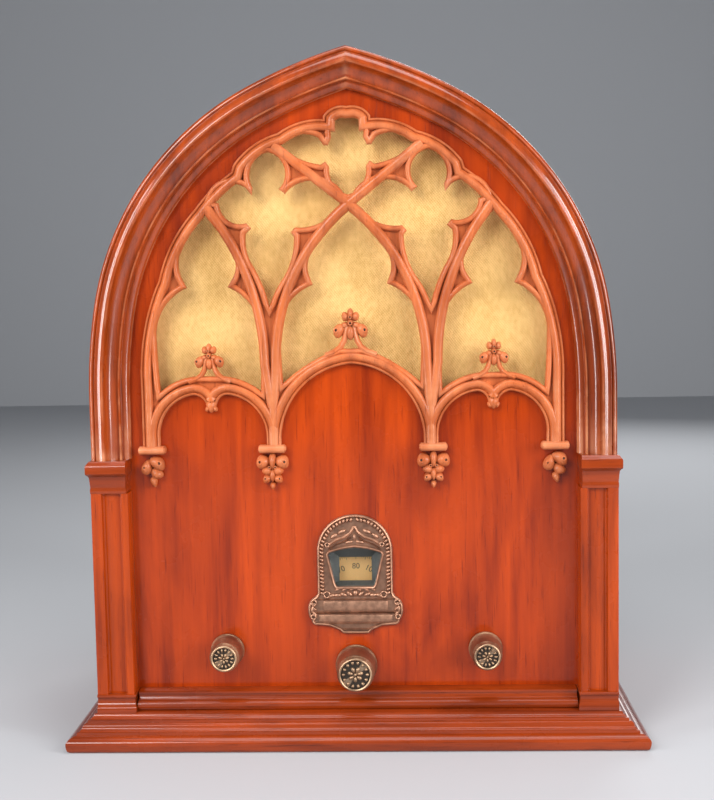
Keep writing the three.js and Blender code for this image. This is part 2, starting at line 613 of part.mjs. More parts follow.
function deckParts() {
  const laminations = box(-114, -66, 26, 82, DECK + 8, DECK + 58);
  const bells = box(-108, -72, 32, 76, DECK, DECK + 66);
  add('power_transformer', join(laminations, bells), blackIron);

  const tube = (name, x, y, bulb, height) => add(name, turnedZ(x, y, [
    [0, DECK], [15.5, DECK], [15.5, DECK + 26], [12, DECK + 29], [bulb, DECK + 48], [bulb, DECK + height - 34],
    [bulb * 0.55, DECK + height - 14], [bulb * 0.45, DECK + height - 4], [0, DECK + height],
  ], 14), glass);
  tube('rectifier_tube', -52, -24, 21, 112);
  tube('output_tube', 100, 34, 22, 118);
  tube('detector_tube', 10, 62, 19, 100);

  const can = (name, x, y, radius, height) => add(name, turnedZ(x, y, [
    [0, DECK], [radius + 2, DECK], [radius + 2, DECK + 3], [radius, DECK + 4], [radius, DECK + height - 4],
    [radius - 3, DECK + height], [0, DECK + height],
  ], 14), aluminium);
  can('tube_shield_1', 54, -24, 20, 98);
  can('tube_shield_2', 101, -14, 19, 98);
  can('tube_shield_3', 54, 28, 20, 98);
  can('filter_can_1', -100, -12, 17, 88);
  can('filter_can_2', -32, 56, 16, 88);
  can('coil_can_1', 58, 72, 13, 64);
  can('coil_can_2', 96, 74, 13, 64);
}

baseMoldings();
baseBoard();
shell();
frontPanel();
archMoldings();
pilasters();
tracery();
grilleBacking();
speaker();
dial();
controls();
chassis();
tuningGang();
deckParts();

export default model;
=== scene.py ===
# %% [markdown]
# # A cathedral table radio
#
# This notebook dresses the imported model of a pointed-arch table radio. Each cell builds one
# family of pieces, from the cabinet out to the carving, the dial and the works behind. The
# outlines are drawn in millimetres and made into meshes in metres, in the model's own frame:
# X to the right, Y to the back and Z up.

# %%
import math
import bmesh
import bpy
from mathutils import Matrix, Vector


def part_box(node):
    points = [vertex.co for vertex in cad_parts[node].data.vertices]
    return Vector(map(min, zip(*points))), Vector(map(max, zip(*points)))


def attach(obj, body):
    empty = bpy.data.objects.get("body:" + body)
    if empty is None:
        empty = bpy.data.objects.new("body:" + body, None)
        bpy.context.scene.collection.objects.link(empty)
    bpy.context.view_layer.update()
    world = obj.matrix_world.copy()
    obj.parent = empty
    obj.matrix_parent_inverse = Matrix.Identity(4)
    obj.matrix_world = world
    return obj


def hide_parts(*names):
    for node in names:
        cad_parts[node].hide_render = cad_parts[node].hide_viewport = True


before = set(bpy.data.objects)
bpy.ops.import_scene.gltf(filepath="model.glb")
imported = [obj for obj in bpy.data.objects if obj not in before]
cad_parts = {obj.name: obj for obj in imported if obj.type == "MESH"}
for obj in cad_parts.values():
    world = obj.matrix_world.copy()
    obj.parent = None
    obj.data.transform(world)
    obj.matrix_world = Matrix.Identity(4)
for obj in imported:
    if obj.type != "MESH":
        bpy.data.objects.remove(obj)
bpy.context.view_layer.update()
MM = 0.001
PANEL_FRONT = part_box("front_panel")[0].y / MM
print("nodes", len(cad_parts), "panel front", round(PANEL_FRONT, 2))

# %% [markdown]
# ## Outlines
#
# An outline is a start point and then steps. A step with a third number is an arc that bulges
# by that much to the right of the way it travels, so a moulding's hollow or an arch is one step.

# %%
def arc_between(start, end, sag, arc_step):
    """Points between two ends of an arc of that sag, without the ends."""
    chord = end - start
    length = chord.length
    radius = (length ** 2 / 4 + sag ** 2) / (2 * abs(sag))
    sign = math.copysign(1, sag)
    side = Vector((chord.y, -chord.x)) / length
    centre = (start + end) / 2 - side * sign * (radius - abs(sag))
    first = math.atan2(start.y - centre.y, start.x - centre.x)
    half = math.asin(min(1, length / 2 / radius))
    sweep_angle = sign * 2 * (math.pi - half if abs(sag) > radius else half)
    count = max(2, math.ceil(abs(sweep_angle) * radius / arc_step))
    turns = [first + sweep_angle * i / count for i in range(1, count)]
    return [centre + radius * Vector((math.cos(t), math.sin(t))) for t in turns]


def outline(steps, arc_step=2.0):
    """The points of an outline, in millimetres."""
    points = [Vector(steps[0][:2])]
    for step in steps[1:]:
        end = Vector(step[:2])
        if len(step) == 3:
            points.extend(arc_between(points[-1], end, step[2], arc_step))
        points.append(end)
    return points


def mirrored(points):
    """The same outline on the other side of X = 0, travelled the same way round."""
    return [Vector((-p.x, p.y)) for p in reversed(points)]


def both_halves(right):
    """A closed outline from its right half, which starts and ends on X = 0."""
    return right + mirrored(right)[1:-1]


print("an arc of sag 3 over 20 mm has", len(outline([(0, 0), (20, 0, 3)])), "points")

# %% [markdown]
# The cabinet's pointed arch is three arcs on each side that run into each other, each given by
# its radius and the angle it ends at. The last one ends where it meets the middle. Every wall
# and moulding follows the arch at its own inset. The last arc is divided as if it were POINT_ARC
# long at every inset, so that lines at different insets have as many points.

# %%
BODY_HALF = 168.5
ARCH_SPRING = 225
ARCH_ARCS = [(342, 10), (189, 63), (340, None)]
POINT_ARC = 56


def arch_line(inset, low, arc_step=4.0):
    """The right side of the arch, from a height up to the point, inset from the outer edge."""
    line = [Vector((BODY_HALF - inset, low))]
    centre = Vector((BODY_HALF - ARCH_ARCS[0][0], ARCH_SPRING))
    angle = 0.0
    for i, (radius, to) in enumerate(ARCH_ARCS):
        inner = radius - inset
        last = i == len(ARCH_ARCS) - 1
        end = math.acos(-centre.x / inner) if last else math.radians(to)
        count = math.ceil((POINT_ARC if last else abs(end - angle) * radius) / arc_step)
        for k in range(0 if i == 0 else 1, count + 1):
            t = angle + (end - angle) * k / count
            line.append(centre + inner * Vector((math.cos(t), math.sin(t))))
        angle = end
        if not last:
            centre = centre + (radius - ARCH_ARCS[i + 1][0]) * Vector((math.cos(end), math.sin(end)))
    line[-1].x = 0
    return line


def arch_face(inset, low):
    """The whole arch down to a flat foot."""
    right = arch_line(inset, low)
    return right + mirrored(right)[1:]


print("top of the outer arch", round(arch_line(0, 186)[-1].y, 1))

# %% [markdown]
# ## Shapes
#
# These make the meshes: a section swept along a path on the front, a flat plate with holes, a
# turned piece, a section run straight between two ends, and rounded boxes and buds.

# %%
def place(bm, x, proud, z):
    """A vertex on the front: X and Z, and how far it stands out from the panel."""
    return bm.verts.new((x * MM, (PANEL_FRONT - proud) * MM, z * MM))


def bridge_rings(bm, rings, closed_path):
    """Faces between rings of the same count, with ends if the path is open."""
    size = len(rings[0])
    pairs = list(zip(rings, rings[1:]))
    if closed_path:
        pairs.append((rings[-1], rings[0]))
    for near, far in pairs:
        for k in range(size):
            follow = (k + 1) % size
            bm.faces.new((near[k], near[follow], far[follow], far[k]))
    if not closed_path:
        bm.faces.new(rings[0])
        bm.faces.new(list(reversed(rings[-1])))


def sweep(bm, path, section, closed_path=False):
    """Runs a section along a path on the front. A section point is how far to the left of the
    path, and how proud."""
    rings = []
    count = len(path)
    for i, point in enumerate(path):
        before = path[i - 1] if closed_path or i > 0 else None
        after = path[(i + 1) % count] if closed_path or i < count - 1 else None
        way_in = (point - before).normalized() if before is not None else None
        way_out = (after - point).normalized() if after is not None else None
        way_in = way_in or way_out
        way_out = way_out or way_in
        left_in = Vector((-way_in.y, way_in.x))
        left_out = Vector((-way_out.y, way_out.x))
        mitre = left_in + left_out
        if mitre.length < 0.2:
            mitre = left_in
        mitre.normalize()
        stretch = 1 / max(0.55, mitre.dot(left_in))
        ring = []
        for offset, proud in section:
            at = point + mitre * offset * stretch
            ring.append(place(bm, at.x, proud, at.y))
        rings.append(ring)
    bridge_rings(bm, rings, closed_path)


def add_welded(bm, mesh):
    """Adds a filled curve's mesh with its faces and walls joined, and its flat faces kept flat."""
    solid = bmesh.new()
    solid.from_mesh(mesh)
    bmesh.ops.remove_doubles(solid, verts=solid.verts, dist=0.001 * MM)
    solid.normal_update()
    for face in solid.faces:
        if abs(face.normal.y) > 0.999:
            for edge in face.edges:
                edge.smooth = False
    solid.to_mesh(mesh)
    solid.free()
    bm.from_mesh(mesh)


def curve_mesh(curve):
    """The mesh of a filled curve or of lettering. The curve is removed."""
    holder = bpy.data.objects.new(curve.name, curve)
    bpy.context.collection.objects.link(holder)
    bpy.context.view_layer.update()
    filled = holder.evaluated_get(bpy.context.evaluated_depsgraph_get())
    mesh = bpy.data.meshes.new_from_object(filled)
    bpy.data.objects.remove(holder)
    bpy.data.curves.remove(curve)
    return mesh


def plate(bm, outer, holes, near, far, bevel=0.0):
    """A flat plate with holes, from a depth near to a depth far, with its edges eased."""
    curve = bpy.data.curves.new("plate", "CURVE")
    curve.dimensions = "2D"
    curve.fill_mode = "BOTH"
    curve.extrude = (far - near) / 2 - bevel
    curve.bevel_depth = bevel
    curve.bevel_resolution = 1
    curve.offset = -bevel
    for loop in [outer, *holes]:
        spline = curve.splines.new("POLY")
        spline.points.add(len(loop) - 1)
        spline.use_cyclic_u = True
        for point, at in zip(spline.points, loop):
            point.co = (at.x, at.y, 0, 1)
    flat = curve_mesh(curve)
    stand = Matrix.Translation((0, (near + far) / 2, 0)) @ Matrix.Rotation(math.pi / 2, 4, "X")
    flat.transform(Matrix.Scale(MM, 4) @ stand)
    add_welded(bm, flat)
    bpy.data.meshes.remove(flat)


def turned(bm, profile, axis, centre, segments=64):
    """A turned piece: (radius, place along the axis) pairs in millimetres, and the centre in
    metres. The axis is Y or Z. A profile that ends where it starts makes a ring."""
    ring_shaped = profile[0] == profile[-1]
    rings = []
    for radius, along in profile[:-1] if ring_shaped else profile:
        ring = []
        for k in range(segments):
            angle = 2 * math.pi * k / segments
            across = max(radius, 0.01) * math.cos(angle) * MM
            up = max(radius, 0.01) * math.sin(angle) * MM
            if axis == "Y":
                ring.append(bm.verts.new((centre.x + across, along * MM, centre.z + up)))
            else:
                ring.append(bm.verts.new((centre.x + across, centre.y + up, along * MM)))
        rings.append(ring)
    bridge_rings(bm, rings, ring_shaped)


def run_between(bm, ends):
    """Skins a section from one end to the next. Each end is a list of points in millimetres."""
    rings = [[bm.verts.new(Vector(p) * MM) for p in end] for end in ends]
    bridge_rings(bm, rings, False)


def block(bm, low, high, bevel=0.5):
    """A box between two corners in metres, with eased edges in millimetres."""
    size = [high[i] - low[i] for i in range(3)]
    middle = [(high[i] + low[i]) / 2 for i in range(3)]
    shape = Matrix.Translation(middle) @ Matrix.Diagonal((*size, 1))
    made = bmesh.ops.create_cube(bm, size=1, matrix=shape)
    if bevel:
        edges = list({edge for vert in made["verts"] for edge in vert.link_edges})
        bmesh.ops.bevel(bm, geom=edges, offset=bevel * MM, affect="EDGES", segments=2,
                        profile=0.5, material=-1)


def bud(bm, x, z, across, up, proud, base=3.0, turn=0.0, taper=0.0, detail=3):
    """A rounded bud on the front: half sizes across and up, its height, and how it narrows."""
    made = bmesh.ops.create_icosphere(bm, subdivisions=detail, radius=1)
    lean = math.radians(turn)
    for vert in made["verts"]:
        u = vert.co.x * across * (1 - taper * vert.co.z)
        w = vert.co.z * up
        depth = vert.co.y * (proud - base)
        at_x = x + u * math.cos(lean) - w * math.sin(lean)
        at_z = z + u * math.sin(lean) + w * math.cos(lean)
        vert.co = (at_x * MM, (PANEL_FRONT - base + depth) * MM, at_z * MM)


def ring_on_front(bm, x, z, radius, thick, proud, steps=14):
    """A small raised ring, such as the rim of a drilled eye."""
    rings = []
    for i in range(steps):
        angle = 2 * math.pi * i / steps
        ring = []
        for k in range(8):
            turn = 2 * math.pi * k / 8
            out = radius + thick * math.cos(turn)
            ring.append(place(bm, x + out * math.cos(angle), proud + thick * math.sin(turn),
                              z + out * math.sin(angle)))
        rings.append(ring)
    bridge_rings(bm, rings, True)


def finish_piece(bm, name, material, body, nodes, sharp=35, smooth=True):
    """Makes the mesh an object that rides its body and stands for its nodes."""
    bmesh.ops.recalc_face_normals(bm, faces=bm.faces)
    for face in bm.faces:
        face.smooth = smooth
    for edge in bm.edges:
        if edge.calc_face_angle(0) > math.radians(sharp):
            edge.smooth = False
    mesh = bpy.data.meshes.new(name)
    bm.to_mesh(mesh)
    bm.free()
    mesh.materials.append(material)
    piece = bpy.data.objects.new(name, mesh)
    bpy.context.collection.objects.link(piece)
    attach(piece, body)
    if nodes:
        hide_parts(*nodes)
    return piece


def middle(node):
    """The centre of a node's box, in metres."""
    low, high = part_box(node)
    return (low + high) / 2


def spans(node):
    """The low and high corners of a node's box, in millimetres."""
    low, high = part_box(node)
    return low / MM, high / MM


print("shape tools ready")

# %% [markdown]
# ## Finishes
#
# Shared effects are node groups with named sockets. Wood is built of long streaks, a broad
# figure and short dark pores; the grain runs along one axis, by how its coordinates stretch.

# %%
def new_group(name, inputs, outputs):
    """A shader node group with named sockets: {name: (type, default)} and {name: type}."""
    tree = bpy.data.node_groups.new(name, "ShaderNodeTree")
    for label, (kind, default) in inputs.items():
        socket = tree.interface.new_socket(label, in_out="INPUT", socket_type=kind)
        socket.default_value = default
    for label, kind in outputs.items():
        tree.interface.new_socket(label, in_out="OUTPUT", socket_type=kind)
    return tree, tree.nodes.new("NodeGroupInput"), tree.nodes.new("NodeGroupOutput")


def feed(tree, socket, value):
    """A link or a plain value on a socket."""
    if isinstance(value, bpy.types.NodeSocket):
        tree.links.new(value, socket)
    else:
        socket.default_value = value


def node(tree, kind, settings=None, **sockets):
    """A node with its settings and with values or links on its named sockets."""
    made = tree.nodes.new(kind)
    for label, value in (settings or {}).items():
        setattr(made, label, value)
    for label, value in sockets.items():
        feed(tree, made.inputs[label.replace("_", " ")], value)
    return made


def math_node(tree, operation, first, second=0.5):
    """One arithmetic step on values or sockets."""
    made = tree.nodes.new("ShaderNodeMath")
    made.operation = operation
    for socket, value in zip(made.inputs, (first, second)):
        feed(tree, socket, value)
    return made.outputs[0]


def remap(tree, value, low, high, to_low=0.0, to_high=1.0):
    """A value carried from one range to another, and held at its ends."""
    made = tree.nodes.new("ShaderNodeMapRange")
    tree.links.new(value, made.inputs["Value"])
    for label, number in (("From Min", low), ("From Max", high), ("To Min", to_low), ("To Max", to_high)):
        made.inputs[label].default_value = number
    return made.outputs["Result"]


def mix_colour(tree, factor, first, second, blend="MIX"):
    """Two colours mixed by a value."""
    made = tree.nodes.new("ShaderNodeMix")
    made.data_type = "RGBA"
    made.blend_type = blend
    for index, value in ((0, factor), (6, first), (7, second)):
        feed(tree, made.inputs[index], value)
    return made.outputs[2]


def stretched(tree, scale):
    """Object coordinates multiplied along each axis."""
    where = tree.nodes.new("ShaderNodeTexCoord").outputs["Object"]
    made = tree.nodes.new("ShaderNodeVectorMath")
    made.operation = "MULTIPLY"
    tree.links.new(where, made.inputs[0])
    feed(tree, made.inputs[1], scale)
    return made.outputs[0]


def scaled_vector(tree, vector, factor):
    """A vector times one number."""
    made = tree.nodes.new("ShaderNodeVectorMath")
    made.operation = "SCALE"
    tree.links.new(vector, made.inputs[0])
    feed(tree, made.inputs["Scale"], factor)
    return made.outputs[0]


def noise(tree, vector, scale, detail=4.0, roughness=0.55, distortion=0.0):
    """Noise as a value."""
    made = node(tree, "ShaderNodeTexNoise", Scale=scale, Detail=detail, Roughness=roughness,
                Distortion=distortion)
    tree.links.new(vector, made.inputs["Vector"])
    return made.outputs[0]


print("node helpers ready")

# %% [markdown]
# The wood group. Grain is the stretch of the streaks, Figure of the broad flames, and the edge socket
# lightens the arrises: partly where polishing has thinned the stain, partly as a painted highlight on the
# ridges.

# %%
def wood_group():
    """Streaks, flames and pores in a dark stain over a light one."""
    tree, come, go = new_group(
        "Lacquered wood",
        {
            "Grain": ("NodeSocketVector", (150.0, 150.0, 8.0)),
            "Figure": ("NodeSocketVector", (22.0, 22.0, 5.0)),
            "Light": ("NodeSocketColor", (0.5, 0.1, 0.03, 1)),
            "Dark": ("NodeSocketColor", (0.25, 0.04, 0.01, 1)),
            "Figure Amount": ("NodeSocketFloat", 0.6),
            "Edge Rub And Highlight": ("NodeSocketFloat", 0.0),
        },
        {"Color": "NodeSocketColor", "Roughness": "NodeSocketFloat", "Height": "NodeSocketFloat"},
    )
    grain_space = stretched(tree, come.outputs["Grain"])
    figure_space = stretched(tree, come.outputs["Figure"])
    streaks = noise(tree, grain_space, 1.0, 5.0, 0.6, 0.3)
    broad = noise(tree, figure_space, 0.35, 3.0, 0.5, 0.6)
    rings = math_node(tree, "PINGPONG", math_node(tree, "MULTIPLY", broad, 14.0), 1.0)
    flames = noise(tree, figure_space, 0.8, 4.0, 0.6, 1.5)
    figure = math_node(tree, "MULTIPLY", rings, remap(tree, flames, 0.35, 0.65, 0.1, 0.55))
    figure = math_node(tree, "ADD", figure, remap(tree, flames, 0.35, 0.7, 0.0, 0.55))
    amount = math_node(tree, "MULTIPLY", figure, come.outputs["Figure Amount"])
    grain = remap(tree, streaks, 0.3, 0.72, 0.0, 0.6)
    shade = math_node(tree, "ADD", amount, grain)
    shade = remap(tree, shade, 0.0, 1.15)
    colour = mix_colour(tree, shade, come.outputs["Light"], come.outputs["Dark"])
    pore_space = scaled_vector(tree, grain_space, 7.0)
    pores = remap(tree, noise(tree, pore_space, 1.0, 2.0, 0.5), 0.62, 0.74)
    colour = mix_colour(tree, math_node(tree, "MULTIPLY", pores, 0.45), colour, come.outputs["Dark"],
                        "MULTIPLY")
    # Convex arrises, found by pointiness, are mixed toward a pale orange: partly rubbed-through stain,
    # partly a painted highlight on the ridges.
    edge = node(tree, "ShaderNodeNewGeometry").outputs["Pointiness"]
    worn = remap(tree, edge, 0.52, 0.60)
    scuff = remap(tree, noise(tree, stretched(tree, (60.0, 60.0, 60.0)), 1.0, 4.0), 0.35, 0.65)
    worn = math_node(tree, "MULTIPLY", worn, scuff)
    worn = math_node(tree, "MULTIPLY", worn, come.outputs["Edge Rub And Highlight"])
    colour = mix_colour(tree, worn, colour, (0.66, 0.27, 0.13, 1))
    tree.links.new(colour, go.inputs["Color"])
    smudge = noise(tree, stretched(tree, (18.0, 18.0, 18.0)), 1.0, 5.0)
    tree.links.new(remap(tree, smudge, 0.3, 0.7, 0.20, 0.36), go.inputs["Roughness"])
    height = math_node(tree, "SUBTRACT", streaks, pores)
    tree.links.new(height, go.inputs["Height"])
    return tree


WOOD = wood_group()


def base_material(name, **sockets):
    """A material with constants on its own shader's sockets."""
    material = bpy.data.materials.new(name)
    material.use_nodes = True
    shader = material.node_tree.nodes["Principled BSDF"]
    for label, value in sockets.items():
        shader.inputs[label.replace("_", " ")].default_value = value
    return material, material.node_tree, shader


def use_group(material_parts, group, values, strength, distance):
    """Feeds a shader from a group's outputs, with its height as a bump."""
    material, tree, shader = material_parts
    made = tree.nodes.new("ShaderNodeGroup")
    made.node_tree = group
    for label, value in values.items():
        made.inputs[label].default_value = value
    for label in ("Color", "Roughness", "Metallic"):
        if label in made.outputs:
            target = "Base Color" if label == "Color" else label
            tree.links.new(made.outputs[label], shader.inputs[target])
    bump = tree.nodes.new("ShaderNodeBump")
    bump.inputs["Strength"].default_value = strength
    bump.inputs["Distance"].default_value = distance
    tree.links.new(made.outputs["Height"], bump.inputs["Height"])
    tree.links.new(bump.outputs[0], shader.inputs["Normal"])
    return material


def wood(name, light, dark, along="Z", figure=0.6, edge_rub_and_highlight=0.0, coat=0.6, bump=0.25):
    """A lacquered wood with its grain along one axis."""
    grain = [160.0, 160.0, 160.0]
    broad = [24.0, 24.0, 24.0]
    grain["XYZ".index(along)] = 7.0
    broad["XYZ".index(along)] = 5.5
    parts = base_material(name, Coat_Weight=coat, Coat_Roughness=0.12, Specular_IOR_Level=0.15)
    values = {"Grain": grain, "Figure": broad, "Light": (*light, 1), "Dark": (*dark, 1),
              "Figure Amount": figure, "Edge Rub And Highlight": edge_rub_and_highlight}
    return use_group(parts, WOOD, values, bump, 0.0002)


panel_wood = wood("panel veneer", (0.48, 0.052, 0.002), (0.20, 0.016, 0.001), figure=0.75, coat=0.4)
shell_wood = wood("shell veneer", (0.34, 0.040, 0.005), (0.13, 0.012, 0.002), along="Y", figure=0.5)
trim_wood = wood("moulding wood", (0.46, 0.056, 0.002), (0.15, 0.014, 0.001), figure=0.6, coat=0.4)
# The arch moulding takes strong edge lightening: rubbed stain and a painted highlight on its ridges.
trim_wood_rubbed_and_highlit = wood("moulding wood, rubbed and painted highlight", (0.42, 0.060, 0.005), (0.09, 0.011, 0.002), figure=0.6,
                      edge_rub_and_highlight=0.9, coat=1.0)
trim_wood_across = wood("moulding wood across", (0.34, 0.044, 0.004), (0.09, 0.010, 0.002),
                        along="X", figure=0.6)
trim_wood_deep = wood("moulding wood along the side", (0.25, 0.032, 0.005), (0.07, 0.008, 0.002),
                      along="Y", figure=0.6)
# The carving's arrises are lightened the same way, as wear and as a painted highlight.
carved_wood = wood("carved wood", (0.64, 0.165, 0.050), (0.22, 0.036, 0.010), figure=0.45,
                   edge_rub_and_highlight=0.6, coat=0.2, bump=0.35)
# A near-black finish for the buds inside the carved eyes: painted shade in place of the holes' darkness.
painted_hole_shade = base_material("drilled wood", Base_Color=(0.02, 0.008, 0.004, 1), Roughness=0.9)[0]
plywood = wood("plywood", (0.50, 0.33, 0.18), (0.33, 0.20, 0.10), along="X", figure=0.4, coat=0.0)
print("woods", [m.name for m in bpy.data.materials if "wood" in m.name or "veneer" in m.name])

# %% [markdown]
# Speaker cloth, aged metals, and the plain finishes. The cloth is a fine diagonal weave. Aged
# metal is bright where it stands out and dark in its hollows.

# %%
def cloth_group():
    """Two crossed sets of threads with slubs, over broad soft changes of tone."""
    tree, come, go = new_group(
        "Gold weave",
        {
            "Pitch": ("NodeSocketFloat", 1.0),
            "Light": ("NodeSocketColor", (0.84, 0.55, 0.21, 1)),
            "Dark": ("NodeSocketColor", (0.56, 0.31, 0.075, 1)),
        },
        {"Color": "NodeSocketColor", "Roughness": "NodeSocketFloat", "Height": "NodeSocketFloat"},
    )
    scaled = scaled_vector(tree, stretched(tree, (1.0, 1.0, 1.0)),
                           math_node(tree, "DIVIDE", 100.0, come.outputs["Pitch"]))
    threads = []
    for turn in (38.0, -52.0):
        rotate = node(tree, "ShaderNodeVectorRotate", {"rotation_type": "Y_AXIS"})
        tree.links.new(scaled, rotate.inputs["Vector"])
        rotate.inputs["Angle"].default_value = math.radians(turn)
        wave = node(tree, "ShaderNodeTexWave", {"wave_type": "BANDS", "bands_direction": "X"},
                    Scale=2.4, Distortion=1.4, Detail=2.0, Detail_Scale=3.0)
        tree.links.new(rotate.outputs[0], wave.inputs["Vector"])
        threads.append(wave.outputs[1])
    weave = math_node(tree, "MULTIPLY", threads[0], math_node(tree, "ADD", threads[1], 0.5))
    slub = noise(tree, stretched(tree, (420.0, 420.0, 260.0)), 1.0, 4.0)
    broad = noise(tree, stretched(tree, (28.0, 28.0, 20.0)), 1.0, 3.0)
    thread_shade = math_node(tree, "MULTIPLY", weave, 0.5)
    shade = math_node(tree, "ADD", thread_shade, remap(tree, slub, 0.3, 0.7, 0, 0.6))
    shade = math_node(tree, "ADD", shade, remap(tree, broad, 0.3, 0.7, -0.15, 0.25))
    tree.links.new(mix_colour(tree, remap(tree, shade, 0.1, 1.1), come.outputs["Dark"],
                              come.outputs["Light"]), go.inputs["Color"])
    tree.links.new(remap(tree, slub, 0.2, 0.8, 0.75, 0.95), go.inputs["Roughness"])
    height = math_node(tree, "ADD", thread_shade, math_node(tree, "MULTIPLY", broad, 6.0))
    tree.links.new(height, go.inputs["Height"])
    return tree


def aged_group():
    """Metal that is rubbed bright on its arrises and keeps its patina in the hollows."""
    tree, come, go = new_group(
        "Aged metal",
        {
            "Bright": ("NodeSocketColor", (0.5, 0.3, 0.2, 1)),
            "Dark": ("NodeSocketColor", (0.05, 0.03, 0.02, 1)),
            "Patina": ("NodeSocketFloat", 0.5),
        },
        {
            "Color": "NodeSocketColor",
            "Roughness": "NodeSocketFloat",
            "Metallic": "NodeSocketFloat",
            "Height": "NodeSocketFloat",
        },
    )
    edge = node(tree, "ShaderNodeNewGeometry").outputs["Pointiness"]
    raised = remap(tree, edge, 0.495, 0.56)
    blotch = noise(tree, stretched(tree, (260.0, 260.0, 260.0)), 1.0, 5.0)
    raised = math_node(tree, "MULTIPLY", raised, remap(tree, blotch, 0.25, 0.6, 0.35, 1.0))
    patina = math_node(tree, "MULTIPLY", come.outputs["Patina"], 0.5)
    rubbed = math_node(tree, "MULTIPLY", raised, math_node(tree, "SUBTRACT", 1.0, patina))
    tree.links.new(mix_colour(tree, rubbed, come.outputs["Dark"], come.outputs["Bright"]),
                   go.inputs["Color"])
    tree.links.new(remap(tree, blotch, 0.3, 0.7, 0.32, 0.55), go.inputs["Roughness"])
    tree.links.new(remap(tree, rubbed, 0.0, 0.6, 0.55, 1.0), go.inputs["Metallic"])
    tree.links.new(blotch, go.inputs["Height"])
    return tree


def brushed_group():
    """Dulled plate with broad blotches and fine lines."""
    tree, come, go = new_group(
        "Dulled plate",
        {
            "Bright": ("NodeSocketColor", (0.6, 0.6, 0.6, 1)),
            "Dark": ("NodeSocketColor", (0.3, 0.3, 0.3, 1)),
        },
        {"Color": "NodeSocketColor", "Roughness": "NodeSocketFloat", "Height": "NodeSocketFloat"},
    )
    blotch = noise(tree, stretched(tree, (45.0, 45.0, 45.0)), 1.0, 7.0, 0.65)
    lines = noise(tree, stretched(tree, (30.0, 30.0, 1400.0)), 1.0, 2.0)
    tree.links.new(mix_colour(tree, remap(tree, blotch, 0.35, 0.65), come.outputs["Dark"],
                              come.outputs["Bright"]), go.inputs["Color"])
    tree.links.new(remap(tree, blotch, 0.3, 0.7, 0.28, 0.5), go.inputs["Roughness"])
    tree.links.new(lines, go.inputs["Height"])
    return tree


CLOTH = cloth_group()
AGED = aged_group()
BRUSHED = brushed_group()
weave = use_group(base_material("gold speaker cloth", Sheen_Weight=0.25), CLOTH,
                  {"Pitch": 1.0}, 0.5, 0.0006)


def metal(name, group, bright, dark, bump, distance=0.0001, **sockets):
    """A metal from its bright and its dark colour."""
    return use_group(base_material(name, **sockets), group,
                     {"Bright": (*bright, 1), "Dark": (*dark, 1)}, bump, distance)


def plain_finish(name, colour, roughness, **sockets):
    """A finish of one colour."""
    return base_material(name, Base_Color=(*colour, 1), Roughness=roughness, **sockets)[0]


copper = metal("antique copper", AGED, (0.62, 0.34, 0.22), (0.095, 0.044, 0.028), 0.2)
bronze = metal("antique bronze", AGED, (0.60, 0.42, 0.28), (0.040, 0.028, 0.020), 0.2)
bronze_worn = metal("worn bronze", BRUSHED, (0.50, 0.33, 0.20), (0.26, 0.16, 0.10), 0.1, Metallic=0.9)
steel = metal("plated steel", BRUSHED, (0.50, 0.49, 0.46), (0.30, 0.29, 0.27), 0.1, Metallic=1.0)
aluminium = metal("spun aluminium", BRUSHED, (0.74, 0.74, 0.75), (0.50, 0.50, 0.51), 0.15, Metallic=1.0)
laminations = metal("laminations", BRUSHED, (0.20, 0.20, 0.21), (0.10, 0.10, 0.10), 0.6, 0.0003,
                    Metallic=0.8)
black_iron = plain_finish("black enamel", (0.018, 0.018, 0.020), 0.42)
bakelite = plain_finish("bakelite", (0.030, 0.016, 0.012), 0.25)
rubber = plain_finish("rubber", (0.016, 0.015, 0.015), 0.75)
paper = plain_finish("cone paper", (0.055, 0.042, 0.034), 0.9)
mask_paint = plain_finish("dial mask paint", (0.10, 0.11, 0.11), 0.5)
# The disc's faint amber emission is a painted glow, standing in for the dial lamp's light shining through
# it.
celluloid = plain_finish("dial celluloid", (0.80, 0.50, 0.20), 0.35,
                         Emission_Color=(0.9, 0.5, 0.15, 1), Emission_Strength=0.12)
ink = plain_finish("dial ink", (0.03, 0.02, 0.02), 0.6)
glass = plain_finish("glass", (0.98, 0.98, 0.97), 0.03, Transmission_Weight=1.0, IOR=1.12)
print("finishes", len(bpy.data.materials))

# %% [markdown]
# ## Base
#
# The base moulding is one outline: a heavy torus, a fillet, a hollow and a bead. It is run
# along the front and both sides and mitred at the corners.

# %%
BASE = outline([
    (-12, 0), (14.6, 0), (16.9, 2.2, 0.5), (17.4, 5.2, 0.12), (16.2, 8.2, 0.5), (12.0, 10.1, 0.5),
    (11.4, 10.3), (11.2, 11.9), (9.4, 12.9, -0.35), (8.3, 14.5, -0.3), (7.7, 15.7, 0.2),
    (6.1, 16.5, 0.3), (5.5, 16.7), (5.4, 18.1), (3.3, 19.1, -0.4), (1.8, 21.1, -0.3), (0, 21.4),
    (0, 8), (-12, 8),
], 0.6)
BASE_REACH = 17.5
BASE_PLANE = spans("base_molding_front")[0].y + BASE_REACH
BACK = spans("base_molding_left")[1].y


def base_corner(side):
    """The section at a mitred front corner."""
    return [(side * (BODY_HALF + p.x), BASE_PLANE - p.x, p.y) for p in BASE]


def base_rear(side):
    """The section at the back end of a side."""
    return [(side * (BODY_HALF + p.x), BACK, p.y) for p in BASE]


base_runs = [
    ("base_molding_front", [base_corner(-1), base_corner(1)], trim_wood_across),
    ("base_molding_left", [base_corner(-1), base_rear(-1)], trim_wood_deep),
    ("base_molding_right", [base_corner(1), base_rear(1)], trim_wood_deep),
]
for name, ends, finish in base_runs:
    bm = bmesh.new()
    run_between(bm, ends)
    finish_piece(bm, f"{name}_piece", finish, "cabinet", [name], sharp=30)

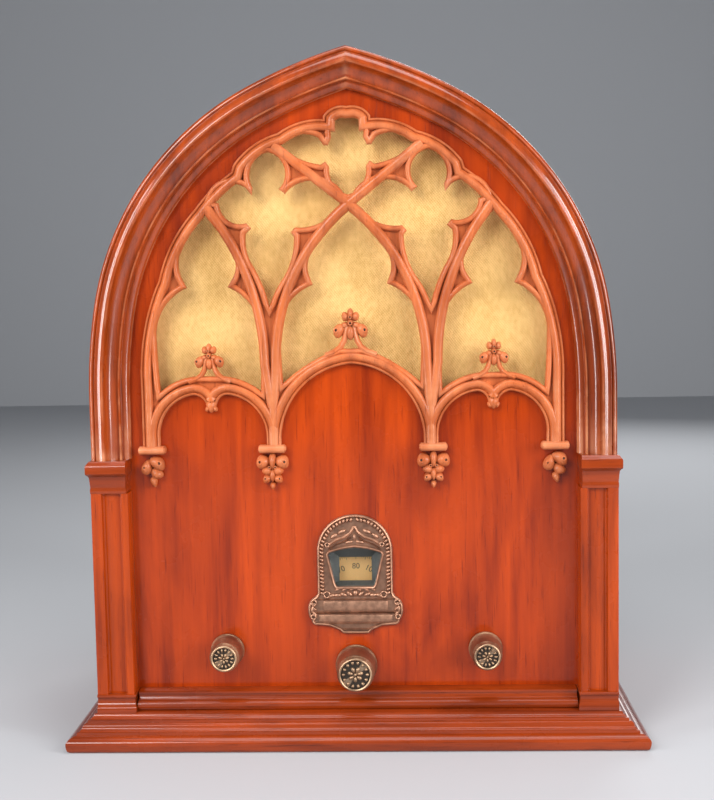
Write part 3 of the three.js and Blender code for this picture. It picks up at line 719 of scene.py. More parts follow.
for name in ("base_rail_rear", "base_board"):
    bm = bmesh.new()
    block(bm, *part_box(name), bevel=0.4)
    finish_piece(bm, f"{name}_piece", trim_wood_across, "cabinet", [name])
print("base profile", len(BASE), "points")

# %% [markdown]
# ## Cabinet
#
# Two bent sides meet at the point of the arch. The front panel stands inside them.

# %%
SHELL_INSET = 2.5
SHELL_WALL = 7.0
board_top = spans("base_board")[1].z
for name, side in [("cabinet_shell_right", 1), ("cabinet_shell_left", -1)]:
    low, high = spans(name)
    outer = arch_line(SHELL_INSET, board_top, 3.0)
    inner = arch_line(SHELL_INSET + SHELL_WALL, board_top, 3.0)
    right = outer + list(reversed(inner))
    if side < 0:
        right = mirrored(right)
    bm = bmesh.new()
    plate(bm, right, [], low.y, high.y, 0.5)
    finish_piece(bm, f"{name}_piece", shell_wood, "cabinet", [name])

GRILLE_OPENING = both_halves(outline([
    (0, 250), (38, 233, -2), (50, 214), (64, 227, -1), (91.3, 234, -1.5), (118, 227, -1.5),
    (130.5, 214, -1), (130.5, 232), (119, 297, 3.4), (94, 343, 2.4), (70, 366, 1), (43, 389, 2),
    (14, 397, 2), (0, 404, 1.5),
]))
WINDOW_HOLE = outline([(-20, 98.5), (20, 98.5), (20, 127.5), (-20, 127.5)])
SHAFT_NODES = ["tuning_shaft", "volume_shaft", "tone_shaft"]


def circle(x, z, radius, sides=40):
    """A round hole in a plate."""
    turns = [2 * math.pi * i / sides for i in range(sides)]
    return [Vector((x + radius * math.cos(t), z + radius * math.sin(t))) for t in turns]


SHAFT_HOLE = 5.5
PANEL_GAP = 0.3
shaft_holes = [circle(middle(n).x / MM, middle(n).z / MM, SHAFT_HOLE) for n in SHAFT_NODES]
panel_edge = arch_face(SHELL_INSET + SHELL_WALL + PANEL_GAP, board_top)
low, high = spans("front_panel")
bm = bmesh.new()
plate(bm, panel_edge, [GRILLE_OPENING, WINDOW_HOLE, *shaft_holes], low.y, high.y, 0.3)
finish_piece(bm, "front_panel_piece", panel_wood, "cabinet", ["front_panel"])
print("panel from", round(low.z, 1), "to", round(high.z, 1))

# %% [markdown]
# The arch moulding: an outer fillet, a broad face up to a crisp ridge, a deep hollow, a bead
# and an inner fillet, swept round the arch at its own inset for each point.

# %%
ARCH = outline([
    (0, 0), (0, 8.8), (0.9, 10.8, -0.35), (2.8, 11.3, -0.3), (3.2, 10.9), (3.6, 12.0),
    (8.2, 16.1, -0.7), (9.4, 16.5, -0.15), (10.4, 15.7, -0.2), (10.7, 14.2), (17.2, 8.2, 1.3),
    (18.0, 8.0), (18.3, 8.9, -0.1), (19.6, 8.8, -0.4), (20.0, 7.6), (20.3, 6.5), (24.2, 4.3, -0.5),
    (24.5, 3.6), (24.5, 0),
], 0.7)
capital_top = spans("capital_right")[1].z
lines = [arch_line(p.x, capital_top, 4.0) for p in ARCH]
for name, side in [("arch_molding_right", 1), ("arch_molding_left", -1)]:
    bm = bmesh.new()
    rings = []
    for i in range(len(lines[0])):
        rings.append([place(bm, side * line[i].x, p.y, line[i].y) for line, p in zip(lines, ARCH)])
    bridge_rings(bm, rings, False)
    finish_piece(bm, f"{name}_piece", trim_wood_rubbed_and_highlit, "cabinet", [name], sharp=28)
print("arch moulding rings", len(lines[0]), "of", len(ARCH))

# %% [markdown]
# Pilasters stand under the moulding, with capitals, plinths and a sill between them.

# %%
def loft_levels(bm, levels, side):
    """A stepped block against the panel. A level is its height, how proud, and its inner and
    outer edges."""
    ends = []
    for z, proud, x_in, x_out in levels:
        edges = [(side * x_in, PANEL_FRONT), (side * x_out, PANEL_FRONT),
                 (side * x_out, PANEL_FRONT - proud), (side * x_in, PANEL_FRONT - proud)]
        ends.append([(x, y, z) for x, y in edges])
    run_between(bm, ends)


CAPITAL = [
    (165.0, 15.6, 145.6, 168.5), (166.4, 16.0, 145.3, 168.6), (168.2, 15.6, 145.6, 168.5),
    (169.0, 15.5, 145.8, 168.4), (175.4, 16.4, 145.4, 168.9), (176.6, 17.2, 145.0, 169.4),
    (177.6, 19.2, 144.7, 170.2), (178.3, 20.0, 144.5, 170.5), (182.9, 20.0, 144.5, 170.5),
    (183.8, 19.6, 144.7, 170.2), (184.4, 18.6, 144.9, 169.8), (186.0, 17.0, 145.0, 168.6),
]
PLINTH = [
    (21.4, 17.5, 143.0, 168.5), (24.4, 17.5, 143.0, 168.5), (25.0, 17.2, 143.2, 168.5),
    (26.0, 15.8, 143.8, 168.5), (27.4, 15.0, 144.0, 168.5), (29.2, 14.8, 144.1, 168.5),
    (30.8, 15.3, 143.9, 168.5), (31.5, 16.8, 143.3, 168.5), (32.7, 16.8, 143.3, 168.5),
    (33.0, 16.4, 143.5, 168.5),
]
PILASTER = outline([
    (144.5, 0), (144.5, 15.1), (144.9, 15.5, -0.1), (148.3, 15.5), (149.0, 15.1, -0.15), (149.4, 13.0),
    (150.2, 12.3, 0.25), (151.0, 12.5, 0.1), (159.6, 12.5), (160.4, 12.3, 0.1), (161.2, 13.0, 0.25),
    (161.5, 15.1), (162.1, 15.5, -0.15), (167.9, 15.5), (168.5, 15.0, -0.15), (168.5, 0),
], 0.3)
for name, side in [("left", -1), ("right", 1)]:
    for part, levels in [("capital", CAPITAL), ("plinth", PLINTH)]:
        bm = bmesh.new()
        loft_levels(bm, levels, side)
        finish_piece(bm, f"{part}_{name}_piece", trim_wood_across, "cabinet", [f"{part}_{name}"],
                     sharp=40)
    low, high = spans(f"pilaster_{name}")
    bm = bmesh.new()
    run_between(bm, [[(side * p.x, PANEL_FRONT - p.y, z) for p in PILASTER] for z in (low.z, high.z)])
    finish_piece(bm, f"pilaster_{name}_piece", trim_wood, "cabinet", [f"pilaster_{name}"])

SILL = outline([
    (0, 21.4), (12, 21.4), (13.2, 22.6, 0.2), (13.6, 25.0, 0.15), (12.6, 26.8, 0.3), (10.2, 27.6, 0.2),
    (9.2, 28.6, -0.3), (8.6, 30.2, -0.15), (8.6, 31.0), (9.5, 31.3), (9.5, 32.6), (8.0, 33.2), (0, 33.2),
], 0.5)
low, high = spans("sill_molding")
bm = bmesh.new()
run_between(bm, [[(x, PANEL_FRONT - p.x, p.y) for p in SILL] for x in (low.x, high.x)])
finish_piece(bm, "sill_molding_piece", trim_wood_across, "cabinet", ["sill_molding"])
print("sill from", round(low.x, 1), "to", round(high.x, 1))

# %% [markdown]
# ## Carved grille
#
# The tracery is a thin plate with its openings cut out. Every opening, the rim and the lower
# arches carry an edge roll, and a taller ridge runs along the middle of each bar.

# %%
RIM = outline([
    (136, 193), (136, 232), (124.5, 296.5, 3.6), (122.6, 300.4), (98.2, 345.3, 3.4), (74, 368.4, 1.4),
    (72.6, 373), (44, 392.2, 3), (15, 400.3, 2.6), (15, 402), (0, 408.1, 2.6),
])
SIDE_INTRADOS = outline([
    (124.7, 193), (124.7, 199), (102, 226.6, 7.2), (94, 220.5, 1.6), (90.8, 215.6), (87.4, 220.5),
    (80.5, 226.6, 1.6), (55.4, 199, 7.2), (55.4, 193),
])
CENTRE_INTRADOS = outline([(46, 193), (46, 199), (0, 245.4, 12.3)])
CENTRE_LANCET = outline([
    (0, 255), (7, 255.5), (44, 233.5, -2.2), (44.9, 262, 0.3), (23.6, 296.2, 7.2), (25.2, 300.4),
    (20.6, 320.8, 3.4), (0, 342.5, 0.9),
])
SIDE_LANCET = outline([
    (58.4, 228.6), (82, 238.6, -1.8), (100, 238.8), (123.5, 229, -2.2), (125.2, 262, 0.3),
    (104.6, 295.6, 6.6), (106.8, 300), (109, 316, 1.5), (92.6, 342.4, 1), (74.2, 316, 0.8),
    (75.8, 300, 2.2), (78.4, 295.6), (58.2, 262, 6.6), (58.4, 228.6, 0.2),
])[:-1]
DAGGER = outline([
    (51.6, 283), (60.5, 307, -0.8), (65.8, 329.5, 2.2), (62.2, 332.8), (65.2, 336.2), (82.5, 349, 5.4),
    (87.5, 350.5), (65.4, 358.4, 6.2), (61.4, 353.6), (60.8, 358.5), (51, 380.6, 6), (42.6, 358.6, 6.6),
    (44.2, 357.2), (40.2, 354), (38, 356.6), (4.2, 348.2, 9.2), (34.2, 333, 5.2), (37, 329.6),
    (35, 327), (44.1, 298.4, 2.4), (51.6, 283, -0.6),
])[:-1]
TREFOIL = outline([
    (0, 353), (11.6, 370.6, 4), (14, 374), (17, 372), (43.5, 384.6, 2.2), (18.4, 388.9, 4.4),
    (15.2, 384.2), (12.4, 384.0), (10.0, 389.0), (10.4, 393.4, 0.2), (0, 401.4, 3.4),
])
rim_path = RIM + mirrored(RIM)[1:]
centre_arch = CENTRE_INTRADOS + mirrored(CENTRE_INTRADOS)[1:]
lower_edge = mirrored(SIDE_INTRADOS)[::-1] + centre_arch[::-1] + SIDE_INTRADOS[::-1]
face = rim_path + lower_edge
openings = [
    both_halves(CENTRE_LANCET), SIDE_LANCET, mirrored(SIDE_LANCET), DAGGER, mirrored(DAGGER),
    both_halves(TREFOIL),
]
PLATE_PROUD = 1.8
EDGE_ROLL = [
    (0, 0.2), (0, 2.6), (-0.3, 3.9), (-1.1, 5.0), (-2.0, 5.3), (-2.9, 4.9), (-3.5, 3.9), (-3.8, 2.4),
    (-3.9, 0.2),
]
RIM_BAND = [
    (0, 0.2), (0, 3.0), (0.4, 4.0), (1.0, 4.4), (1.6, 4.0), (1.9, 3.2), (2.2, 3.7), (2.9, 5.3),
    (4.0, 6.2), (5.3, 6.4), (6.5, 5.8), (7.2, 4.4), (7.5, 2.4), (7.5, 0.2),
]
ARCH_BAND = [(-offset, proud) for offset, proud in RIM_BAND]
RIDGE = [
    (-3.2, 0.2), (-3.2, 3.2), (-2.7, 5.0), (-1.5, 6.2), (0, 6.45), (1.5, 6.2), (2.7, 5.0), (3.2, 3.2),
    (3.2, 0.2),
]


def arc_path(centre, radius, start, end, steps=26):
    """Points along an arc, from one angle to another in degrees."""
    turns = [math.radians(start + (end - start) * i / steps) for i in range(steps + 1)]
    return [Vector(centre) + radius * Vector((math.cos(t), math.sin(t))) for t in turns]


LEG = [Vector((50.7, 192)), Vector((50.7, 226))]
MAIN_BAR = [Vector((50.4, 218)), *arc_path((-81.5, 246), 130, 0, 51.2), Vector((-22, 364.6)),
            Vector((-47, 384.4))]
SECOND_BAR = [Vector((51.2, 218)), *arc_path((217, 246), 161.5, 180, 141.4)]

bm = bmesh.new()
plate(bm, face, openings, PANEL_FRONT - PLATE_PROUD, PANEL_FRONT, 0.3)
for opening in openings:
    sweep(bm, opening, EDGE_ROLL, True)
sweep(bm, rim_path, RIM_BAND)
sweep(bm, SIDE_INTRADOS, ARCH_BAND)
sweep(bm, mirrored(SIDE_INTRADOS), ARCH_BAND)
sweep(bm, centre_arch, ARCH_BAND)
for bar in (LEG, MAIN_BAR, SECOND_BAR):
    sweep(bm, bar, RIDGE)
    sweep(bm, mirrored(bar), RIDGE)
print("tracery so far", len(bm.faces), "faces")

# %% [markdown]
# Leafy finials stand on the three arches, their stems running up out of the arch, and pendants hang from
# collars at the four feet. Leaves curl round drilled eyes, where a near-black bud is painted shade for
# the hole.

# %%
PAINTED_HOLE_SHADE = 1


def eye(bm, x, z, radius, proud):
    """A drilled eye: a raised ring, with a near-black bud in it as painted shade for the hole."""
    ring_on_front(bm, x, z, radius, radius * 0.38, proud)
    before = len(bm.faces)
    bud(bm, x, z, radius * 0.8, radius * 0.8, proud + 0.25, base=proud - 0.5, detail=2)
    bm.faces.ensure_lookup_table()
    for k in range(before, len(bm.faces)):
        bm.faces[k].material_index = PAINTED_HOLE_SHADE


def leaf_pair(bm, x, z, out, across, up, proud, turn, drilled=0.0, sides=(-1, 1)):
    """Two leaves either side of a stem, leaning out, each curled round its eye."""
    for side in sides:
        bud(bm, x + side * out, z, across, up, proud, base=2.2, turn=-side * turn, taper=0.25)
        if drilled:
            eye(bm, x + side * (out + across * 0.3), z + 0.2, drilled, proud - 0.35)


def finial(bm, x, z, size):
    """Twin stems that rise out of the arch, side leaves, a collar and a three-lobed head."""
    for side in (-1, 1):
        stem = [(15.0, -3.4), (9.6, -1.2), (6.0, 1.6), (4.0, 5.0), (3.0, 9.0), (2.4, 14.0)]
        path = [Vector((x + side * u * size, z + w * size)) for u, w in stem]
        roll = [(-1.7, 0.2), (-1.7, 3.4), (-1.0, 5.2), (0, 5.8), (1.0, 5.2), (1.7, 3.4), (1.7, 0.2)]
        sweep(bm, path, [(u * size, w) for u, w in roll])
    leaf_pair(bm, x, z + 11.4 * size, 7.0 * size, 4.6 * size, 3.3 * size, 7.4, 62, 1.25 * size)
    leaf_pair(bm, x, z + 14.4 * size, 3.4 * size, 2.6 * size, 2.0 * size, 7.0, 30)
    bud(bm, x, z + 10.0 * size, 2.5 * size, 4.6 * size, 6.8, base=2.6)
    bud(bm, x, z + 16.4 * size, 2.0 * size, 2.0 * size, 7.0, base=2.6)
    eye(bm, x, z + 15.6 * size, 1.0 * size, 6.9)
    leaf_pair(bm, x, z + 19.6 * size, 2.9 * size, 2.5 * size, 2.9 * size, 7.6, 24)
    bud(bm, x, z + 21.2 * size, 2.0 * size, 3.2 * size, 7.9, base=3.0)
    eye(bm, x, z + 19.2 * size, 0.8 * size, 7.7)


def pendant(bm, x, z, outer):
    """A rolled collar, a pair of curled leaves and two buds below it. An outer one curls once."""
    collar = [(-2.6, 0.2), (-2.6, 5.2), (-2.0, 7.2), (-0.8, 8.3), (0.8, 8.3), (2.0, 7.2), (2.6, 5.2),
              (2.6, 0.2)]
    sweep(bm, [Vector((x - 8.0, z + 2.2)), Vector((x + 8.0, z + 2.2))], collar)
    for end in (-1, 1):
        bud(bm, x + end * 7.9, z + 2.2, 1.4, 2.5, 7.6, base=2.4, detail=2)
    if outer:
        leaf_pair(bm, x, z - 6.2, 3.2, 5.6, 4.0, 7.8, 40, 1.3, sides=(1,))
        leaf_pair(bm, x, z - 9.0, 3.8, 3.6, 5.2, 7.2, -18, 1.1, sides=(-1,))
        bud(bm, x + 2.4, z - 13.4, 4.2, 3.4, 6.8, base=2.4, turn=-30, taper=-0.3)
        bud(bm, x + 0.6, z - 18.6, 2.2, 3.6, 6.2, base=2.4, turn=14, taper=-0.4)
        return
    leaf_pair(bm, x, z - 6.2, 6.3, 4.8, 4.5, 7.8, 30, 1.35)
    leaf_pair(bm, x, z - 12.0, 3.4, 3.4, 3.2, 7.2, -24)
    leaf_pair(bm, x, z - 17.2, 3.5, 3.4, 2.7, 7.2, 34, 0.95)
    bud(bm, x, z - 6.0, 2.3, 5.6, 8.0, base=2.8, taper=-0.3)
    bud(bm, x, z - 15.2, 2.0, 4.4, 7.6, base=2.8, taper=-0.35)
    bud(bm, x, z - 22.0, 1.7, 2.6, 6.2, base=2.4, taper=-0.4)
    for side in (-1, 1):
        eye(bm, x + side * 1.9, z - 9.6, 0.8, 6.6)


for side in (-1, 1):
    bud(bm, side * 90.8, 219.4, 3.3, 4.4, 6.4, base=2.2, taper=-0.45)
    bud(bm, side * 88.4, 217.8, 1.5, 2.2, 5.4, base=2.0, turn=30)
    bud(bm, side * 93.2, 217.8, 1.5, 2.2, 5.4, base=2.0, turn=-30)
    finial(bm, side * 91.3, 238.0, 0.90)
    pendant(bm, side * 52, 189, False)
    pendant(bm, side * 130, 189, True)
finial(bm, 0, 254.6, 1.08)
carving = finish_piece(bm, "tracery_piece", carved_wood, "cabinet", ["tracery"], sharp=50)
carving.data.materials.append(painted_hole_shade)
print("finials and pendants added")

# %% [markdown]
# The speaker cloth is stretched over the baffle, and shows through the openings.

# %%
low, high = spans("grille_cloth")
cloth_line = arch_face(16.2, 205.2)
bm = bmesh.new()
plate(bm, cloth_line, [], low.y + 0.1, high.y - 0.1, 0.05)
cloth_piece = finish_piece(bm, "grille_cloth_piece", weave, "cabinet", ["grille_cloth"])
cloth_sides = zip(cloth_line, cloth_line[1:] + cloth_line[:1])
cloth_area = abs(sum(a.x * b.y - b.x * a.y for a, b in cloth_sides)) / 2 * MM * MM

low, high = spans("speaker_baffle")
speaker = middle("speaker_basket")
bm = bmesh.new()
SPEAKER_HOLE = 86
plate(bm, arch_face(13, 185), [circle(0, speaker.z / MM, SPEAKER_HOLE, 64)], low.y, high.y, 0.3)
finish_piece(bm, "speaker_baffle_piece", plywood, "cabinet", ["speaker_baffle"])
print("baffle", round(low.z, 1), round(high.z, 1))

# %% [markdown]
# ## Dial
#
# The escutcheon is a thin cast plate: a lit rim, a rope border over the window, a crown of
# ogee strips, leaf scrolls under it, two bare bands and a pair of scrolled ears.

# %%
ESCUTCHEON = both_halves(outline([
    (0, 68.5), (8.5, 68.5), (11, 71), (17.5, 73.6), (25, 74.2), (29, 77.5, 1.2), (31, 85, 0.8),
    (27.5, 92.5, 1), (24.6, 96, -0.6), (24.6, 122), (0, 147.3, 7.6),
], 0.8))
DIAL_WINDOW = both_halves(outline([
    (0, 100), (11.8, 100), (12.8, 101.5), (17.2, 120.8), (16.4, 122), (0, 125.4, 0.6),
], 0.8))
RIM_ROLL = [(0.1, 0.1), (0.1, 1.9), (0.5, 2.6), (1.1, 2.8), (1.7, 2.3), (1.9, 1.2), (1.9, 0.1)]


def strip(bm, points, wide=1.0, proud=2.4, closed_path=False):
    """A thin raised strip of cast ornament."""
    half = wide / 2
    section = [(-half, 0.1), (-half, proud - 0.8), (0, proud), (half, proud - 0.8), (half, 0.1)]
    sweep(bm, [Vector(p) for p in points], section, closed_path)


bm = bmesh.new()
plate(bm, ESCUTCHEON, [DIAL_WINDOW], PANEL_FRONT - 1.2, PANEL_FRONT, 0.15)
sweep(bm, ESCUTCHEON, RIM_ROLL, True)
sweep(bm, DIAL_WINDOW, [(-p[0], p[1]) for p in RIM_ROLL], True)
rope = outline([(21.6, 95.5), (21.6, 121.6), (0, 144.0, 6.7)], 0.6)
BEAD_STEP = 2.45
BEAD_LEAN = 32
walked = 0.0
beads = []
for a, b in zip(rope, rope[1:]):
    length = (b - a).length
    while walked < length:
        beads.append((a + (b - a) * walked / length, math.degrees(math.atan2(*(b - a).yx))))
        walked += BEAD_STEP
    walked -= length
for at, heading in beads:
    for side in (-1, 1):
        lean = heading - 90 + BEAD_LEAN
        bud(bm, side * at.x, at.y, 1.85, 1.15, 3.0, base=0.9, turn=side * lean, detail=2)
print("rope beads", 2 * len(beads))

# %%
CROWN = [(0, 139.5), (2.4, 135.4), (6.4, 132.6), (12.0, 130.6), (16.6, 127.6)]
for side in (-1, 1):
    strip(bm, [(side * x, z) for x, z in CROWN][::side], 1.7, 2.9)
    strip(bm, [(side * x, z - 3.0) for x, z in CROWN[1:]][::side], 1.1, 2.3)
    bud(bm, side * 8.2, 136.0, 3.2, 1.5, 2.8, base=0.9, turn=-side * 26, detail=2)
    bud(bm, side * 13.4, 133.2, 2.9, 1.4, 2.7, base=0.9, turn=-side * 34, detail=2)
    bud(bm, side * 3.6, 129.2, 3.0, 1.2, 2.6, base=0.9, turn=-side * 12, detail=2)
    ring_on_front(bm, side * 17.8, 127.6, 1.3, 0.6, 2.1)
    for k in range(4):
        bud(bm, side * (3.6 + 4.0 * k), 94.9 - 0.4 * k, 2.7, 1.35, 2.9, base=0.9,
            turn=side * (42 - 20 * k), detail=2)
    for k in range(3):
        bud(bm, side * (2.6 + 4.6 * k), 97.8, 2.0, 0.9, 2.6, base=0.9, turn=-side * 28, detail=2)
    for k in range(3):
        bud(bm, side * (26.8 + 0.4 * k), 81.8 + 3.4 * k, 2.6, 1.0, 2.7, base=0.9,
            turn=side * (50 - 14 * k), detail=2)
    ring_on_front(bm, side * 18.6, 94.6, 1.9, 0.6, 2.2)
    ring_on_front(bm, side * 27.3, 89.3, 1.7, 0.6, 2.3)
    ring_on_front(bm, side * 27.6, 79.8, 1.5, 0.6, 2.3)
    bud(bm, side * 28.3, 84.6, 1.2, 3.3, 2.7, base=1.0, turn=side * 6, detail=2)
bud(bm, 0, 95.4, 1.7, 2.3, 2.9, base=1.0, detail=2)
bud(bm, 0, 132.4, 1.2, 2.4, 2.8, base=1.0, detail=2)
for z, half in [(91.2, 24.6), (82.9, 25.6), (82.0, 25.8), (75.4, 22.0)]:
    strip(bm, [(-half, z), (half, z)], 0.8, 2.4)
for z0, z1, half in [(84.2, 90.0, 21.0), (76.6, 81.0, 24.0)]:
    block(bm, (-half * MM, (PANEL_FRONT - 1.7) * MM, z0 * MM),
          (half * MM, (PANEL_FRONT - 0.3) * MM, z1 * MM), 0.25)
strip(bm, [(-9.0, 71.4), (9.0, 71.4)], 0.9, 2.3)
finish_piece(bm, "escutcheon_piece", copper, "cabinet", ["escutcheon"], sharp=45)
print("escutcheon done")

# %% [markdown]
# Behind the plate are a thin glass, a dark mask with a sight hole, and the numbered disc, which
# turns with the tuning gang.

# %%
bm = bmesh.new()
block(bm, *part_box("dial_glass"), bevel=0.1)
finish_piece(bm, "dial_glass_piece", glass, "cabinet", ["dial_glass"])

low, high = spans("dial_mask")
bm = bmesh.new()
SIGHT = outline([(-10.5, 101.5), (10.5, 101.5), (10.5, 117), (-10.5, 117)])
plate(bm, outline([(-24, 92), (24, 92), (24, 131), (-24, 131)]), [SIGHT], low.y, high.y, 0.1)
finish_piece(bm, "dial_mask_piece", mask_paint, "cabinet", ["dial_mask"])

bm = bmesh.new()
mouth = [(-17.2, 98.8), (17.2, 98.8), (18.2, 126.6), (-18.2, 126.6)]
sight = [(p.x, p.y) for p in SIGHT]
glass_back = spans("dial_glass")[1].y
funnel_back = low.y - 0.05
rings = []
for corners, depth in [(mouth, glass_back + 0.2), (sight, funnel_back), (mouth, funnel_back)]:
    rings.append([bm.verts.new((x * MM, depth * MM, z * MM)) for x, z in corners])
bridge_rings(bm, rings, True)
finish_piece(bm, "dial_funnel", mask_paint, "cabinet", [], smooth=False)

low, high = spans("dial_disc")
disc = middle("dial_disc")
bm = bmesh.new()
turned(bm, [(3.5, low.y), (36.3, low.y), (36.5, low.y + 0.2), (36.5, low.y + 1.0), (36.3, low.y + 1.2),
            (8, low.y + 1.2), (8, high.y), (3.5, high.y), (3.5, low.y)], "Y", disc, 96)
finish_piece(bm, "dial_disc_piece", celluloid, "tuning_rotor", ["dial_disc"])

NUMBERS = ["55", "60", "70", "80", "100", "120", "140"]
NUMBER_STEP = 26
NUMBER_RADIUS = 21.6
INK_HALF = 0.02
TICK_STEP = 2.6
TICK_RADIUS = 29.0
disc_front = Matrix.Translation((disc.x, (low.y - 0.03) * MM, disc.z))
bm = bmesh.new()
for k, number in enumerate(NUMBERS):
    text = bpy.data.curves.new("number", "FONT")
    text.body = number
    text.size = 5.0 * MM
    text.align_x = "CENTER"
    text.align_y = "CENTER"
    text.extrude = INK_HALF * MM
    flat = curve_mesh(text)
    turn = math.radians(NUMBER_STEP * (k - len(NUMBERS) // 2))
    upright = Matrix.Rotation(turn, 4, "Y") @ Matrix.Translation((0, 0, NUMBER_RADIUS * MM))
    flat.transform(disc_front @ upright @ Matrix.Rotation(math.pi / 2, 4, "X"))
    add_welded(bm, flat)
    bpy.data.meshes.remove(flat)
for k in range(61):
    turn = math.radians(-78 + TICK_STEP * k)
    length = 2.6 if k % 5 == 0 else 1.5
    shape = (disc_front @ Matrix.Rotation(turn, 4, "Y")
             @ Matrix.Translation((0, 0, (TICK_RADIUS - length / 2) * MM))
             @ Matrix.Diagonal((0.3 * MM, 2 * INK_HALF * MM, length * MM, 1)))
    bmesh.ops.create_cube(bm, size=1, matrix=shape)
finish_piece(bm, "dial_numbers", ink, "tuning_rotor", [], smooth=False)

low, high = spans("dial_lamp")
lamp = middle("dial_lamp")
bm = bmesh.new()
turned(bm, [(0, low.y), (2.2, low.y + 0.3), (4.2, low.y + 1.8), (5.4, low.y + 4.4), (5.1, low.y + 6.4),
            (4.2, low.y + 8.4), (0, low.y + 8.6)], "Y", lamp, 32)
finish_piece(bm, "dial_lamp_bulb", glass, "cabinet", ["dial_lamp"])
bm = bmesh.new()
turned(bm, [(0, low.y + 8.7), (4.6, low.y + 8.7), (4.6, high.y), (0, high.y)], "Y", lamp, 32)
finish_piece(bm, "dial_lamp_cap", steel, "cabinet", [])
print("dial numbers", NUMBERS)

# %% [markdown]
# ## Knobs
#
# Cast knobs, tapered to a face with a raised rim. Inside it are a ring of petals and a rosette.

# %%
FACE_FINISH = 1
PETALS = 14


def make_knob(name, body, rear, face_radius):
    """A knob, from its radius at the back and at the face. A rosette is a count, a first angle,
    how far out, half sizes across and up, how far below the face, and a taper."""
    low, high = spans(name)
    at = middle(name)
    x = at.x / MM
    z = at.z / MM
    proud_face = PANEL_FRONT - low.y
    bm = bmesh.new()
    turned(bm, [
        (3.3, high.y), (rear - 1, high.y), (rear - 0.2, high.y - 0.8), (rear, high.y - 2),
        (rear, high.y - 3.6), (rear - 0.7, high.y - 4.4), (rear - 0.9, high.y - 6),
        (face_radius + 0.5, low.y + 5.4), (face_radius + 0.6, low.y + 4.6),
        (face_radius + 0.9, low.y + 4.0), (face_radius + 0.6, low.y + 3.2),
        (face_radius + 0.2, low.y + 2.8), (face_radius, low.y + 0.9),
        (face_radius - 0.5, low.y + 0.15), (face_radius - 1.0, low.y),
        (face_radius - 1.6, low.y + 0.4), (face_radius - 1.9, low.y + 1.5), (0, low.y + 1.6),
    ], "Y", at, 72)
    for face in bm.faces:
        spot = face.calc_center_median()
        reach = math.hypot(spot.x - at.x, spot.z - at.z) / MM
        if reach < face_radius - 1.7 and spot.y < (low.y + 2) * MM:
            face.material_index = FACE_FINISH
    ring = face_radius - 3.3
    half_gap = math.pi / PETALS
    rosettes = [
        (PETALS, 0, ring, 0.62 * ring * half_gap, 1.35, 0.35, -0.25),
        (7, 12, ring * 0.42, 0.16 * ring, 0.26 * ring, 0.3, -0.3),
    ]
    for count, start, out, across, up, sunk, taper in rosettes:
        for k in range(count):
            turn = 360 * k / count + start
            heading = math.radians(turn)
            bud(bm, x + out * math.cos(heading), z + out * math.sin(heading), across, up,
                proud_face - sunk, base=proud_face - 1.8, turn=turn - 90, taper=taper, detail=2)
    bud(bm, x, z, 0.14 * ring, 0.14 * ring, proud_face - 0.1, base=proud_face - 1.8, detail=2)
    piece = finish_piece(bm, f"{name}_piece", bronze_worn, body, [name], sharp=40)
    piece.data.materials.append(bronze)


make_knob("tuning_knob", "tuning_control", 13.6, 11.0)
make_knob("volume_knob", "volume_spindle", 11.0, 8.7)
make_knob("tone_knob", "tone_spindle", 11.0, 8.7)
print("knobs done")

# %% [markdown]
# ## Works
#
# Behind the panel: shafts and controls, the chassis, the valves in their bases, screening cans,
# the gang, the transformer and the loudspeaker. Plain pressed parts keep their own mesh.

# %%
BOLTS = [f"chassis_bolt_{k}" for k in range(1, 5)]
plain = [
    (steel, "shaft_steel", ["tuning_shaft", "volume_shaft", "tone_shaft", *BOLTS]),
    (steel, "chassis_steel", ["chassis_pan", "gang_frame", "lamp_bracket"]),
    (bakelite, "bakelite", ["volume_control", "tone_control", "terminal_strip"]),
    (aluminium, "plate_aluminium", ["gang_rotor", "gang_stator"]),
    (rubber, "grommet_rubber", ["cord_grommet"]),
    (black_iron, "black_iron", ["speaker_basket"]),
    (paper, "cone_paper", ["speaker_cone"]),
]
for finish, slot_name, names in plain:
    for name in names:
        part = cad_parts[name]
        part.data.materials.clear()
        part.data.materials.append(finish)


def can(name):
    """A spun screening can on a flange, with a rolled bead round its foot."""
    low, high = spans(name)
    flange = (high.x - low.x) / 2
    radius = flange - 2
    z0 = low.z
    z1 = high.z
    bm = bmesh.new()
    turned(bm, [
        (0, z0), (flange, z0), (flange, z0 + 1.0), (flange - 0.5, z0 + 1.6), (radius + 0.6, z0 + 1.9),
        (radius, z0 + 3), (radius, z0 + 9), (radius + 0.5, z0 + 9.6), (radius + 0.5, z0 + 10.8),
        (radius, z0 + 11.4), (radius, z1 - 5), (radius - 0.7, z1 - 2.4), (radius - 3.2, z1 - 0.6),
        (radius - 6.0, z1 - 0.3), (radius - 6.6, z1 - 1.2), (0, z1 - 1.3),
    ], "Z", middle(name), 56)
    finish_piece(bm, f"{name}_piece", aluminium, "cabinet", [name])


for name in ("tube_shield_1", "tube_shield_2", "tube_shield_3", "filter_can_1", "filter_can_2",
             "coil_can_1", "coil_can_2"):
    can(name)
print("plain parts", sum(len(names) for _, _, names in plain))

